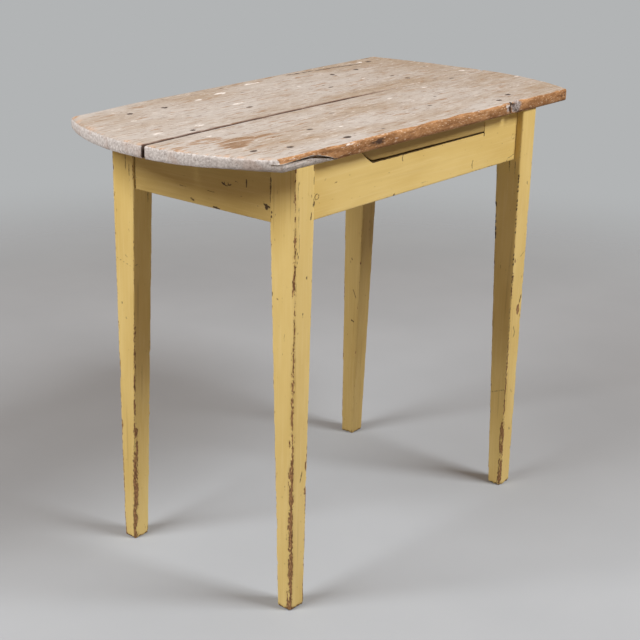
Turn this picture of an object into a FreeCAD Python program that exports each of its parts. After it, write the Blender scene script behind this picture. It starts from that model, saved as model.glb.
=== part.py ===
import FreeCAD, Part
import Sketcher
import os

# Tavern table in millimetres: two nailed top boards on a painted pegged frame,
# with a shallow drawer whose front is sawn out of the front apron.
# X runs along the top, the drawer faces -Y, Z is up, the origin is on the floor under the top's middle.

Vector = FreeCAD.Vector
UP = Vector(0, 0, 1)
DOWN = Vector(0, 0, -1)
RIGHT = Vector(1, 0, 0)
BACK = Vector(0, 1, 0)

# Driving dimensions
DIMENSIONS = {
    "top_length": 915,
    "top_width": 444,
    "top_thick": 22,
    "end_bow": 66,
    "front_corner": 10,
    "rear_corner": 25,
    "top_arris_radius": 3,
    "joint_left_place": -16,
    "joint_middle_place": 3,
    "joint_right_place": 2,
    "joint_gap_left": 3.4,
    "joint_gap_right": 0.6,
    "cup_rise_left": 2,
    "cup_rise_right": 10,
    "knot_place": 210,
    "knot_radius": 5,
    "leg_height": 725,
    "overhang_left": 107,
    "overhang_right": 160,
    "overhang_front": 5,
    "overhang_rear": 48,
    "leg_top_x": 43,
    "leg_top_y": 50,
    "foot_x": 33,
    "foot_y": 28,
    "leg_arris_radius": 2.5,
    "apron_height": 88,
    "apron_thick": 22,
    "front_setback": 12,
    "side_setback": 3,
    "tenon_thick": 9,
    "tenon_low": 8,
    "tenon_top_gap": 28,
    "long_tenon": 22,
    "end_tenon": 28,
    "mortise_spare": 1,
    "peg_radius": 4,
    "peg_length": 34,
    "peg_offset": 14,
    "bore_fit_gap": 0.05,
    "notch_height": 24.5,
    "notch_left_gap": 121,
    "notch_slant_width": 31,
    "notch_curve_across": 12.5,
    "notch_curve_down": 12.5,
    "notch_right_gap": 101,
    "saw_kerf_width": 1.6,
    "saw_overcut_length": 4,
    "drawer_recess": 1,
    "drawer_skew": 7,
    "drawer_front_thick": 25,
    "drawer_end_gap": 0.4,
    "drawer_gap_left": 3.6,
    "drawer_gap_right": 1.4,
    "drawer_top_gap": 1,
    "drawer_wall": 11,
    "drawer_wall_high": 15,
    "drawer_floor": 6,
    "drawer_inset_gap": 5,
    "drawer_lip_width": 8,
    "drawer_run_gap": 0.6,
    "drawer_side_gap": 1.5,
    "drawer_back_gap": 0.6,
    "runner_wide": 30,
    "runner_high": 20,
    "runner_bearing_width": 14,
    "housing_depth": 6,
    "guide_high": 14,
    "guide_start_gap": 4,
    "leg_nail_inset": 10,
    "front_leg_nail_gap": 9,
    "rear_leg_nail_gap": 39,
    "end_nail_inset": 5,
    "end_nail_left_place": 30,
    "end_nail_right_place": 72,
    "front_nail_left_gap": 101,
    "front_nail_right_gap": 46,
    "rear_nail_gap": 64,
    "top_nail_bite": 26,
    "top_nail_radius": 2,
    "top_nail_head": 4.5,
    "top_nail_head_high": 2,
    "top_nail_sunk": 0.6,
    "wall_nail_length": 36,
    "floor_nail_length": 17,
    "small_nail_radius": 1.1,
    "small_nail_head": 2.4,
    "small_nail_head_high": 1,
}
FLOOR_NAILS = 3
TOUCH = 0.01

doc = FreeCAD.newDocument("tavern_table")
sheet = doc.addObject("Spreadsheet::Sheet", "sizes")
for row, (name, number) in enumerate(DIMENSIONS.items(), start=1):
    sheet.set(f"A{row}", name)
    sheet.set(f"B{row}", str(number))
    sheet.setAlias(f"B{row}", name)
doc.recompute()


# Sizes that carry both an expression for binding and a number for drawing
class Size:
    def __init__(self, text, number):
        self.text = text
        self.number = number

    def __add__(self, other):
        other = as_size(other)
        return Size(f"({self.text} + {other.text})", self.number + other.number)

    def __sub__(self, other):
        other = as_size(other)
        return Size(f"({self.text} - {other.text})", self.number - other.number)

    def __mul__(self, factor):
        return Size(f"({self.text} * ({factor}))", self.number * factor)

    def __truediv__(self, other):
        other = as_size(other)
        return Size(f"({self.text} / {other.text})", self.number / other.number)

    def times(self, other):
        return Size(f"({self.text} * {other.text})", self.number * other.number)

    def __neg__(self):
        return self * -1


def as_size(item):
    if isinstance(item, Size):
        return item
    return Size(f"({item})", float(item))


def size(name):
    return Size(f"sizes.{name}", float(sheet.get(name)))


def bind(item, prop, value):
    item.setExpression(prop, as_size(value).text)


def bind_place(item, place):
    for axis, value in zip("xyz", place):
        bind(item, f"Placement.Base.{axis}", value)


# Sketches, pads and pockets
def new_body(label):
    body = doc.addObject("PartDesign::Body", label)
    body.Label = label
    return body


def new_sketch(body, name, role, lift=0):
    sketch = body.newObject("Sketcher::SketchObject", f"{body.Name}_{name}")
    plane = [item for item in body.Origin.OriginFeatures if item.Role == role][0]
    sketch.AttachmentSupport = [(plane, "")]
    sketch.MapMode = "FlatFace"
    bind(sketch, "AttachmentOffset.Base.z", lift)
    return sketch


def pin(sketch, geometry, point, across, along):
    for kind, value in (("DistanceX", across), ("DistanceY", along)):
        value = as_size(value)
        constraint = Sketcher.Constraint(kind, -1, 1, geometry, point, value.number)
        index = sketch.addConstraint(constraint)
        sketch.setExpression(f"Constraints[{index}]", value.text)


def draw_outline(sketch, corners):
    """Closed outline; a corner with two more values starts an arc through that middle point."""
    numbers = [[as_size(value).number for value in corner] for corner in corners]
    ends = []
    for index, corner in enumerate(numbers):
        here = Vector(corner[0], corner[1], 0)
        there = numbers[(index + 1) % len(numbers)]
        there = Vector(there[0], there[1], 0)
        if len(corner) == 2:
            line = sketch.addGeometry(Part.LineSegment(here, there))
            ends.append((line, 1, 2))
            continue
        middle = Vector(corner[2], corner[3], 0)
        if (there - here).cross(middle - here).z < 0:
            arc = sketch.addGeometry(Part.Arc(here, middle, there))
            ends.append((arc, 1, 2))
        else:
            arc = sketch.addGeometry(Part.Arc(there, middle, here))
            ends.append((arc, 2, 1))
        mark = sketch.addGeometry(Part.Point(middle), True)
        sketch.addConstraint(Sketcher.Constraint("PointOnObject", mark, 1, arc))
        pin(sketch, mark, 1, corners[index][2], corners[index][3])
    for index, (geometry, start, _) in enumerate(ends):
        before, _, last = ends[index - 1]
        sketch.addConstraint(Sketcher.Constraint("Coincident", before, last, geometry, start))
        pin(sketch, geometry, start, corners[index][0], corners[index][1])


def draw_box(sketch, left, right, low, high):
    draw_outline(sketch, [(left, low), (right, low), (right, high), (left, high)])


def pad(body, sketch, length, reverse=False):
    feature = body.newObject("PartDesign::Pad", f"{sketch.Name}_pad")
    feature.Profile = sketch
    feature.Reversed = reverse
    bind(feature, "Length", length)
    sketch.Visibility = False
    body.Tip = feature
    return feature


def pocket(body, sketch, length=None, reverse=False):
    feature = body.newObject("PartDesign::Pocket", f"{sketch.Name}_pocket")
    feature.Profile = sketch
    if length is None:
        feature.SideType = "Symmetric"
        feature.Type = "ThroughAll"
    else:
        feature.Reversed = reverse
        bind(feature, "Length", length)
    body.Tip = feature
    return feature


def round_edges(body, name, radius, wanted):
    doc.recompute()
    base = body.Tip
    chosen = [f"Edge{i}" for i, edge in enumerate(base.Shape.Edges, start=1) if wanted(edge)]
    feature = body.newObject("PartDesign::Fillet", f"{body.Name}_{name}")
    feature.Base = (base, chosen)
    bind(feature, "Radius", radius)
    body.Tip = feature
    return feature


# Round fasteners and the bores they sit in
def rod(name, radius, length, place, direction):
    item = doc.addObject("Part::Cylinder", name)
    bind(item, "Radius", radius)
    bind(item, "Height", length)
    item.Placement = FreeCAD.Placement(Vector(), FreeCAD.Rotation(UP, direction))
    bind_place(item, place)
    return item


def nail(name, kind, length, place, direction, extra=0):
    """A headed nail, or with extra the bore that takes it; place is the middle of the head's top."""
    head = rod(f"{name}_head", size(f"{kind}_head") + extra, size(f"{kind}_head_high"), place, direction)
    shank = rod(f"{name}_shank", size(f"{kind}_radius") + extra, length + extra, place, direction)
    item = doc.addObject("Part::Fuse", name)
    item.Base = head
    item.Tool = shank
    return item


def group(label, items):
    item = doc.addObject("Part::Compound", label)
    item.Links = items
    item.Label = label
    return item


def mirrored(label, source):
    """The same piece on the other side of the frame's middle."""
    item = doc.addObject("Part::Mirroring", label)
    item.Source = source
    item.Normal = RIGHT
    bind(item, "Base.x", frame_x)
    item.Label = label
    return item


def bored(label, body, bores):
    item = doc.addObject("Part::Cut", label)
    item.Base = body
    item.Tool = bores
    item.Label = label
    return item


# Places that several pieces share
frame_x = (size("overhang_left") - size("overhang_right")) / 2
frame_y = (size("overhang_front") - size("overhang_rear")) / 2
half_length = (size("top_length") - size("overhang_left") - size("overhang_right")) / 2
half_width = (size("top_width") - size("overhang_front") - size("overhang_rear")) / 2
leg_height = size("leg_height")
apron_height = size("apron_height")
apron_thick = size("apron_thick")
apron_low = leg_height - apron_height
front_face = frame_y - half_width + size("front_setback")
front_inside = front_face + apron_thick
rear_face = frame_y + half_width - size("side_setback")
rear_inside = rear_face - apron_thick
left_face = frame_x - half_length + size("side_setback")
long_shoulder = half_length - size("leg_top_x")
end_shoulder = half_width - size("leg_top_y")
tenon_thick = size("tenon_thick")
tenon_low = size("tenon_low")
tenon_top = apron_height - size("tenon_top_gap")
tenon_inset = (apron_thick - tenon_thick) / 2
bore_fit = size("bore_fit_gap")


# Legs: square where the aprons meet, then tapered on the two inner faces only
def make_leg(label, side, setback):
    """A left leg; side is 1 at the front and -1 at the back, so the inner faces look into the frame."""
    body = new_body(label)
    bind_place(body, (frame_x - half_length, frame_y - half_width * side, 0))
    wide_x = size("leg_top_x")
    wide_y = size("leg_top_y") * side

    foot = new_sketch(body, "foot", "XY_Plane")
    draw_box(foot, 0, size("foot_x"), 0, size("foot_y") * side)
    shoulder = new_sketch(body, "shoulder", "XY_Plane", apron_low)
    draw_box(shoulder, 0, wide_x, 0, wide_y)
    doc.recompute()
    taper = body.newObject("PartDesign::AdditiveLoft", f"{label}_taper")
    taper.Profile = foot
    taper.Sections = [(shoulder, [""])]
    taper.Ruled = True
    body.Tip = taper

    block = new_sketch(body, "block", "XY_Plane", apron_low)
    draw_box(block, 0, wide_x, 0, wide_y)
    pad(body, block, apron_height)

    low = apron_low + tenon_low
    high = apron_low + tenon_top
    near = (setback + tenon_inset) * side
    far = (setback + tenon_inset + tenon_thick) * side
    long_mortise = new_sketch(body, "long_mortise", "YZ_Plane", wide_x)
    draw_box(long_mortise, near, far, low, high)
    pocket(body, long_mortise, size("long_tenon") + size("mortise_spare"))

    near = size("side_setback") + tenon_inset
    end_mortise = new_sketch(body, "end_mortise", "XZ_Plane", -wide_y)
    draw_box(end_mortise, near, near + tenon_thick, low, high)
    pocket(body, end_mortise, size("end_tenon") + size("mortise_spare"), reverse=side > 0)

    def outer_corner(edge):
        points = [vertex.Point for vertex in edge.Vertexes]
        return all(abs(point.x) < TOUCH and abs(point.y) < TOUCH for point in points)

    round_edges(body, "arris", size("leg_arris_radius"), outer_corner)
    return body


# Pegs: one through each tenon, driven in from the leg's outer faces
def peg_row(name, extra=0):
    radius = size("peg_radius") + extra
    length = size("peg_length") + extra
    middle = apron_low + (tenon_low + tenon_top) / 2
    long_x = frame_x - long_shoulder - size("long_tenon") / 2
    rods = []
    for end, side in (("front", 1), ("rear", -1)):
        outer_y = frame_y - half_width * side
        rods.append(rod(f"{name}_{end}_long", radius, length,
                        (long_x, outer_y, middle + size("peg_offset")), BACK * side))
        end_y = frame_y - (end_shoulder + size("end_tenon") / 2) * side
        rods.append(rod(f"{name}_{end}_end", radius, length,
                        (frame_x - half_length, end_y, middle - size("peg_offset")), RIGHT))
    return group(name, rods)


# Aprons: boards with a thinner tenon at each end, housed inside for the drawer runners
def add_tenons(body, role, shoulder, long, reverse):
    tenons = new_sketch(body, "tenons", role, tenon_inset * (-1 if reverse else 1))
    draw_box(tenons, -(shoulder + long), shoulder + long, tenon_low, tenon_top)
    pad(body, tenons, tenon_thick, reverse=reverse)


def make_long_apron(label, face, outline, inner_side):
    """A long apron seen in elevation; the outline starts at its middle and the bottom edge."""
    body = new_body(label)
    bind_place(body, (frame_x, face, apron_low))
    board = new_sketch(body, "board", "XZ_Plane")
    draw_outline(board, outline)
    pad(body, board, apron_thick, reverse=True)
    add_tenons(body, "XZ_Plane", long_shoulder, size("long_tenon"), True)
    for end, (left, right) in (("left", left_runner), ("right", right_runner)):
        housing = new_sketch(body, f"{end}_housing", "XZ_Plane", -apron_thick if inner_side else 0)
        draw_box(housing, left, right, runner_low, runner_top)
        pocket(body, housing, size("housing_depth"), reverse=inner_side)
    return body


def make_end_apron(label):
    body = new_body(label)
    bind_place(body, (left_face, frame_y, apron_low))
    board = new_sketch(body, "board", "YZ_Plane")
    draw_box(board, -end_shoulder, end_shoulder, 0, apron_height)
    pad(body, board, apron_thick)
    add_tenons(body, "YZ_Plane", end_shoulder, size("end_tenon"), False)
    return body


# Drawer opening: heights are measured from the apron's lower edge, widths from the frame's middle
notch_low = apron_height - size("notch_height")
notch_left = size("notch_left_gap") - long_shoulder
notch_foot = notch_left + size("notch_slant_width")
notch_right = long_shoulder - size("notch_right_gap")
kerf = size("saw_kerf_width")
box_left = notch_foot + size("drawer_inset_gap")
box_right = notch_right - size("drawer_inset_gap")
runner_top = notch_low
runner_low = runner_top - size("runner_high")
left_runner_in = box_left + size("runner_bearing_width")
right_runner_in = box_right - size("runner_bearing_width")
left_runner = (left_runner_in - size("runner_wide"), left_runner_in)
right_runner = (right_runner_in, right_runner_in + size("runner_wide"))


def bow_saw_curve(shift, top, low):
    """Left end of the opening: three points of the sweep in which the saw came down from the top edge."""
    return (notch_left + shift, top,
            notch_left + size("notch_curve_across") + shift, top - size("notch_curve_down"),
            notch_foot + shift, low)


start_x, start_z, curve_x, curve_z, foot_x, foot_z = bow_saw_curve(0, apron_height, notch_low)
front_outline = [
    (-long_shoulder, 0),
    (long_shoulder, 0),
    (long_shoulder, apron_height),
    (notch_right, apron_height),
    (notch_right, notch_low - size("saw_overcut_length")),
    (notch_right - kerf, notch_low - size("saw_overcut_length")),
    (notch_right - kerf, notch_low),
    (foot_x, foot_z, curve_x, curve_z),
    (start_x, start_z),
    (-long_shoulder, apron_height),
]
rear_outline = [
    (-long_shoulder, 0),
    (long_shoulder, 0),
    (long_shoulder, apron_height),
    (-long_shoulder, apron_height),
]


# Top boards: both come from one blank with bowed ends, parted along the open joint
top_reach = size("top_length") / 2 + size("end_bow")
cup_start = size("joint_middle_place") + size("joint_gap_left")


def top_blank(body, height):
    half_board = size("top_length") / 2 - size("end_bow")
    half_top = size("top_width") / 2
    tip = size("top_length") / 2
    blank = new_sketch(body, "blank", "XY_Plane")
    draw_outline(blank, [
        (-half_board, -half_top),
        (half_board, -half_top, tip, 0),
        (half_board, half_top),
        (-half_board, half_top, -tip, 0),
    ])
    pad(body, blank, height)


def part_at_joint(body, side):
    """Cuts the blank away on one side of the joint; side is 1 to keep the front board."""
    left = size("joint_left_place") - size("joint_gap_left") / 2 * side
    middle = size("joint_middle_place") - (size("joint_gap_left") + size("joint_gap_right")) / 4 * side
    right = size("joint_right_place") - size("joint_gap_right") / 2 * side
    waste = size("top_width") * side
    joint = new_sketch(body, "joint", "XY_Plane")
    draw_outline(joint, [(-top_reach, left, 0, middle), (top_reach, right),
                         (top_reach, waste), (-top_reach, waste)])
    pocket(body, joint)


def corner_edges(side):
    half_board = DIMENSIONS["top_length"] / 2 - DIMENSIONS["end_bow"]
    edge_y = DIMENSIONS["top_width"] / 2 * side

    def wanted(edge):
        points = [vertex.Point for vertex in edge.Vertexes]
        upright = len(points) == 2 and abs(points[0].z - points[1].z) > TOUCH
        return upright and all(abs(point.y - edge_y) < TOUCH and abs(abs(point.x) - half_board) < TOUCH
                               for point in points)

    return wanted


def make_front_board():
    """The front board has a worn arris all round and a lost knot in its near edge."""
    body = new_body("front_board")
    bind_place(body, (0, 0, leg_height))
    top_blank(body, size("top_thick"))
    part_at_joint(body, 1)
    round_edges(body, "corners", size("front_corner"), corner_edges(-1))

    def worn(edge):
        points = [vertex.Point for vertex in edge.Vertexes]
        level = all(abs(point.z - points[0].z) < TOUCH for point in points)
        middle = edge.valueAt((edge.FirstParameter + edge.LastParameter) / 2)
        return level and middle.y < DIMENSIONS["joint_left_place"] - DIMENSIONS["joint_gap_left"]

    round_edges(body, "arris", size("top_arris_radius"), worn)
    knot = new_sketch(body, "knot", "XY_Plane")
    edge_y = -size("top_width") / 2
    left = size("knot_place") - size("knot_radius")
    right = size("knot_place") + size("knot_radius")
    outside = edge_y - size("knot_radius")
    draw_outline(knot, [(left, edge_y, size("knot_place"), edge_y + size("knot_radius")), (right, edge_y),
                        (right, outside), (left, outside)])
    pocket(body, knot)
    return body


def make_rear_board():
    """The rear board has cupped and twisted: from the joint its far edge curls up, most at the right."""
    body = new_body("rear_board")
    bind_place(body, (0, 0, leg_height))
    thick = size("top_thick")
    far = size("top_width") / 2
    middle = (cup_start + far) / 2
    highest = thick + size("cup_rise_right")
    top_blank(body, highest)
    part_at_joint(body, -1)
    round_edges(body, "corners", size("rear_corner"), corner_edges(1))
    under = []
    over = []
    for end, reach, rise in (("left", -top_reach, size("cup_rise_left")),
                             ("right", top_reach, size("cup_rise_right"))):
        sketch = new_sketch(body, f"under_{end}", "YZ_Plane", reach)
        draw_outline(sketch, [(cup_start, 0, middle, rise / 4), (far, rise), (far, -thick), (cup_start, -thick)])
        under.append(sketch)
        sketch = new_sketch(body, f"over_{end}", "YZ_Plane", reach)
        draw_outline(sketch, [(-far, thick), (cup_start, thick, middle, thick + rise / 4), (far, thick + rise),
                              (far, highest + thick), (-far, highest + thick)])
        over.append(sketch)
    for left, right in (under, over):
        doc.recompute()
        hollow = body.newObject("PartDesign::SubtractiveLoft", f"{left.Name}_loft")
        hollow.Profile = left
        hollow.Sections = [(right, [""])]
        hollow.Ruled = True
        body.Tip = hollow
    return body


def cup_lift(place_x, place_y):
    """How far the cupped board stands off the frame at a place."""
    across = (place_y - cup_start) / (size("top_width") / 2 - cup_start)
    along = (place_x + top_reach) / (top_reach * 2)
    low = size("cup_rise_left")
    rise = low + along.times(size("cup_rise_right") - low)
    return rise.times(across).times(across)


# Top nails: hammered through the boards into the leg tops and the aprons, short enough to stop above the tenons
def front_nail_places():
    leg_x = long_shoulder + size("leg_nail_inset")
    leg_y = frame_y - end_shoulder - size("front_leg_nail_gap")
    apron_y = front_face + apron_thick / 2
    return [
        (-leg_x, leg_y),
        (leg_x, leg_y),
        (size("front_nail_left_gap") - long_shoulder, apron_y),
        (long_shoulder - size("front_nail_right_gap"), apron_y),
    ]


def rear_nail_places():
    leg_x = long_shoulder + size("leg_nail_inset")
    leg_y = frame_y + end_shoulder + size("rear_leg_nail_gap")
    end_x = half_length - size("side_setback") - apron_thick + size("end_nail_inset")
    apron_x = long_shoulder - size("rear_nail_gap")
    apron_y = rear_face - apron_thick / 2
    return [
        (-leg_x, leg_y),
        (leg_x, leg_y),
        (-end_x, frame_y + size("end_nail_left_place")),
        (end_x, frame_y + size("end_nail_right_place")),
        (-apron_x, apron_y),
        (apron_x, apron_y),
    ]


def top_nail_group(name, extra=0):
    board = size("top_thick") - size("top_nail_sunk")
    places = [(across, along, 0) for across, along in front_nail_places()]
    for across, along in rear_nail_places():
        places.append((across, along, cup_lift(frame_x + across, along)))
    nails = []
    for across, along, lift in places:
        nails.append(nail(f"{name}_{len(nails)}", "top_nail", board + size("top_nail_bite"),
                          (frame_x + across, along, leg_height + board + lift), DOWN, extra))
    return group(name, nails)


# Drawer: the sawn-out front, two low walls, a back and a floor that slides on the runners
drawer_face = front_face + size("drawer_recess")
drawer_front_back = drawer_face + size("drawer_front_thick")
drawer_end = rear_inside - size("drawer_back_gap")
floor_low = apron_low + runner_top + size("drawer_run_gap")
floor_top = floor_low + size("drawer_floor")
front_left = notch_left + kerf * 2
front_right = notch_right - size("drawer_end_gap")
wall = size("drawer_wall")
wall_high = size("drawer_wall_high")


def skew_at(across):
    """How far the skewed drawer front stands back at a place, from nothing at its right end."""
    return size("drawer_skew").times((front_right - across) / (front_right - front_left))


def make_drawer_front():
    """The sawn-out strip, planed so that its left end stands back in the opening."""
    body = new_body("front_panel")
    bind_place(body, (frame_x, drawer_face, apron_low))
    top = apron_height - size("drawer_top_gap")
    low_left = notch_low + size("drawer_gap_left")
    low_right = notch_low + size("drawer_gap_right")
    start_x, start_z, curve_x, curve_z, foot_x, foot_z = bow_saw_curve(kerf * 2, top, low_left)
    board = new_sketch(body, "board", "XZ_Plane")
    draw_outline(board, [
        (foot_x, foot_z, curve_x, curve_z),
        (start_x, start_z),
        (front_right, top),
        (front_right, low_right),
    ])
    pad(body, board, size("drawer_front_thick"), reverse=True)
    shaving = new_sketch(body, "shaving", "XY_Plane")
    draw_outline(shaving, [(front_left, -kerf), (front_right, -kerf), (front_right, 0),
                           (front_left, size("drawer_skew"))])
    pocket(body, shaving)
    rebate = new_sketch(body, "rebate", "YZ_Plane")
    back = size("drawer_front_thick")
    draw_box(rebate, back - size("drawer_lip_width"), back, 0, floor_top - apron_low)
    pocket(body, rebate)
    return body


def plank(label, left, right, front, back, low, high):
    """A straight plank drawn in plan; left and right are measured from the frame's middle."""
    body = new_body(label)
    bind_place(body, (frame_x, 0, low))
    plan = new_sketch(body, "plan", "XY_Plane")
    draw_box(plan, left, right, front, back)
    pad(body, plan, high - low)
    return body


def small_nails(name, extra=0):
    """Nails of the drawer: through the front and the walls, and up through the floor."""
    middle = floor_top + wall_high / 2
    walls = {"left": box_left + wall / 2, "right": box_right - wall / 2}
    outsides = {"left": box_left, "right": box_right}
    inward = {"left": RIGHT, "right": RIGHT * -1}
    deep = drawer_end - drawer_front_back
    length = size("wall_nail_length")
    nails = []
    for side, wall_x in walls.items():
        nails.append(nail(f"{name}_{side}_front", "small_nail", length,
                          (frame_x + wall_x, drawer_face + skew_at(wall_x), middle), BACK, extra))
        nails.append(nail(f"{name}_{side}_back", "small_nail", length,
                          (frame_x + outsides[side], drawer_end - wall / 2, middle), inward[side], extra))
        for index in range(1, FLOOR_NAILS + 1):
            along = drawer_front_back + deep / (FLOOR_NAILS + 1) * index
            nails.append(nail(f"{name}_{side}_floor_{index}", "small_nail", size("floor_nail_length"),
                              (frame_x + wall_x, along, floor_low), UP, extra))
    return group(name, nails)


# Assembly
left_pegs = peg_row("left_pegs")
left_bores = peg_row("left_bores", bore_fit)
all_bores = group("peg_bores", [left_bores, mirrored("right_bores", left_bores)])
top_nails = top_nail_group("top_nails")
nail_bores = top_nail_group("nail_bores", bore_fit)
drawer_nails = small_nails("drawer_nails")
drawer_bores = small_nails("drawer_bores", bore_fit)
frame_bores = group("frame_bores", [all_bores, nail_bores])

front_leg = bored("leg_front_left", make_leg("front_leg", 1, size("front_setback")), frame_bores)
rear_leg = bored("leg_rear_left", make_leg("rear_leg", -1, size("side_setback")), frame_bores)
end_apron = make_end_apron("end_apron")
nodes = [
    bored("top_board_front", make_front_board(), nail_bores),
    bored("top_board_rear", make_rear_board(), nail_bores),
    top_nails,
    front_leg,
    mirrored("leg_front_right", front_leg),
    rear_leg,
    mirrored("leg_rear_right", rear_leg),
    bored("apron_front", make_long_apron("front_rail", front_face, front_outline, True), frame_bores),
    bored("apron_rear", make_long_apron("rear_rail", rear_inside, rear_outline, False), frame_bores),
    bored("apron_left", end_apron, frame_bores),
    bored("apron_right", mirrored("far_end_apron", end_apron), frame_bores),
    group("joint_pegs", [left_pegs, mirrored("right_pegs", left_pegs)]),
    drawer_nails,
    bored("drawer_front", make_drawer_front(), drawer_bores),
    bored("drawer_bottom", plank("floor", box_left, box_right, drawer_front_back - size("drawer_lip_width"),
                                 drawer_end, floor_low, floor_top), drawer_bores),
    bored("drawer_side_left", plank("left_wall", box_left, box_left + wall, drawer_front_back, drawer_end,
                                    floor_top, floor_top + wall_high), drawer_bores),
    bored("drawer_side_right", plank("right_wall", box_right - wall, box_right, drawer_front_back, drawer_end,
                                     floor_top, floor_top + wall_high), drawer_bores),
    bored("drawer_back", plank("back_wall", box_left + wall, box_right - wall, drawer_end - wall, drawer_end,
                               floor_top, floor_top + wall_high), drawer_bores),
]
runner_front = front_inside - size("housing_depth")
runner_back = rear_inside + size("housing_depth")
guide_front = drawer_front_back + size("guide_start_gap")
guide_low = apron_low + runner_top
guide_gap = size("drawer_side_gap")
for end, (left, right), guide_left, guide_right in (
        ("left", left_runner, left_runner[0], box_left - guide_gap),
        ("right", right_runner, box_right + guide_gap, right_runner[1])):
    nodes.append(plank(f"drawer_runner_{end}", left, right, runner_front, runner_back,
                       apron_low + runner_low, guide_low))
    nodes.append(plank(f"drawer_guide_{end}", guide_left, guide_right, guide_front, rear_inside,
                       guide_low, guide_low + size("guide_high")))
doc.recompute()

# Check every object, then write one file for each piece
for item in doc.Objects:
    if "Invalid" in item.State or "Error" in item.State:
        raise RuntimeError(f"{item.Label} did not build: {item.State}")
os.makedirs("parts", exist_ok=True)
for node in nodes:
    shape = node.Shape
    if shape.isNull() or not shape.isValid():
        raise RuntimeError(f"{node.Label} has no valid shape")
    shape.exportStep(f"parts/{node.Label}.step")
    box = shape.optimalBoundingBox(False)
    spans = ((box.XMin, box.XMax), (box.YMin, box.YMax), (box.ZMin, box.ZMax))
    print(node.Label, len(shape.Solids), "solids", [f"{low:.1f}..{high:.1f}" for low, high in spans])
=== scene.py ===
# %% [markdown]
# A tavern table: two bare pine boards on a frame painted yellow ochre, with a shallow drawer in the front
# apron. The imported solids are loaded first, so each piece below can be modelled in the place where its
# solid lies. All lengths are in metres, X runs along the top, the drawer faces -Y and Z is up.

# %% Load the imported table
import math
import bmesh
import bpy
import numpy as np
from mathutils import Matrix, Vector, noise
from mathutils.kdtree import KDTree


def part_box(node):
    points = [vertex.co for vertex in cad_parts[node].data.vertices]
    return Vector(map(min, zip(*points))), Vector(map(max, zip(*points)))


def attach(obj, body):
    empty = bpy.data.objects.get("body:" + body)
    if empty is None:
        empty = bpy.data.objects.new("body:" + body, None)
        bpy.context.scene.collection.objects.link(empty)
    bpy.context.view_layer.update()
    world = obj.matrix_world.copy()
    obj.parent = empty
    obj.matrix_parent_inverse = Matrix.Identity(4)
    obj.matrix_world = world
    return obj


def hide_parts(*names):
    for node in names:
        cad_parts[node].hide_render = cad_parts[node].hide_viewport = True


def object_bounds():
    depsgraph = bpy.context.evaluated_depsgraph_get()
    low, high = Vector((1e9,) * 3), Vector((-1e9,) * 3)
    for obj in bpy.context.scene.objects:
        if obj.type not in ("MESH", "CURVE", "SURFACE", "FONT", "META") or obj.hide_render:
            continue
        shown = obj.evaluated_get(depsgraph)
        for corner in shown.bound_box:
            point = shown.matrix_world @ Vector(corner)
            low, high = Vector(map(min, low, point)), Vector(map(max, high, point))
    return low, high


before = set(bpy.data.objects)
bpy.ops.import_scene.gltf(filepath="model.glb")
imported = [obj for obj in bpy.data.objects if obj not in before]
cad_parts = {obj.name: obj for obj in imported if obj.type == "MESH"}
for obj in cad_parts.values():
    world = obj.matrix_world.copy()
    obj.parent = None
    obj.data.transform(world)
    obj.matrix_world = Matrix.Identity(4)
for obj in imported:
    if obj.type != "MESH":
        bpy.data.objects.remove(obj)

MM = 0.001
cad_box = [list(corner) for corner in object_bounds()]

# %% [markdown]
# Every timber of the table starts as a cube primitive, is shaped in edit mode, and then gets an even, fine
# mesh. The fine mesh could come from many subdivisions, but a voxel Remesh also joins overlapping blocks,
# such as a board and its tenons, and softens sharp arrises a little, as handling does. So these helpers are
# shared by all.


# %% Modelling helpers
def pick(*pieces):
    """Selects only these pieces and makes the first one active."""
    bpy.ops.object.select_all(action="DESELECT")
    for piece in pieces:
        piece.select_set(True)
    bpy.context.view_layer.objects.active = pieces[0]


def start_block(name, low, high):
    """A cube primitive that fills the box from low to high."""
    bpy.ops.object.select_all(action="DESELECT")
    bpy.ops.mesh.primitive_cube_add(size=1, location=(Vector(low) + Vector(high)) / 2)
    piece = bpy.context.object
    piece.scale = Vector(high) - Vector(low)
    bpy.ops.object.transform_apply(location=True, rotation=True, scale=True)
    piece.name = name
    piece.data.name = name
    return piece


def select_parts(piece, kind, wanted):
    """Edit mode on the piece, with only the wanted faces, edges or vertices selected."""
    bpy.context.view_layer.objects.active = piece
    bpy.ops.object.mode_set(mode="EDIT")
    bpy.ops.mesh.select_mode(type=kind)
    bpy.ops.mesh.select_all(action="DESELECT")
    shape = bmesh.from_edit_mesh(piece.data)
    for item in {"FACE": shape.faces, "EDGE": shape.edges, "VERT": shape.verts}[kind]:
        if wanted(item):
            item.select_set(True)
    shape.select_flush_mode()
    bmesh.update_edit_mesh(piece.data)


def object_mode():
    bpy.ops.object.mode_set(mode="OBJECT")


def apply_modifier(piece, kind, **settings):
    pick(piece)
    modifier = piece.modifiers.new(kind.lower(), kind)
    for key, value in settings.items():
        setattr(modifier, key, value)
    bpy.ops.object.modifier_apply(modifier=modifier.name)


def cut_away(piece, cutter):
    """Saws the cutter's shape out of the piece and throws the cutter away."""
    apply_modifier(piece, "BOOLEAN", object=cutter, operation="DIFFERENCE", solver="EXACT")
    bpy.data.objects.remove(cutter)


def join_blocks(pieces):
    """Overlapping blocks become one mesh, which the voxel Remesh then unites."""
    pick(*pieces)
    bpy.ops.object.join()
    return pieces[0]


def even_mesh(piece, cell):
    apply_modifier(piece, "REMESH", mode="VOXEL", voxel_size=cell, adaptivity=0)


def vertex_places(piece):
    flat = np.empty(len(piece.data.vertices) * 3, np.float32)
    piece.data.vertices.foreach_get("co", flat)
    return flat.reshape(-1, 3).astype(float)


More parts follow.
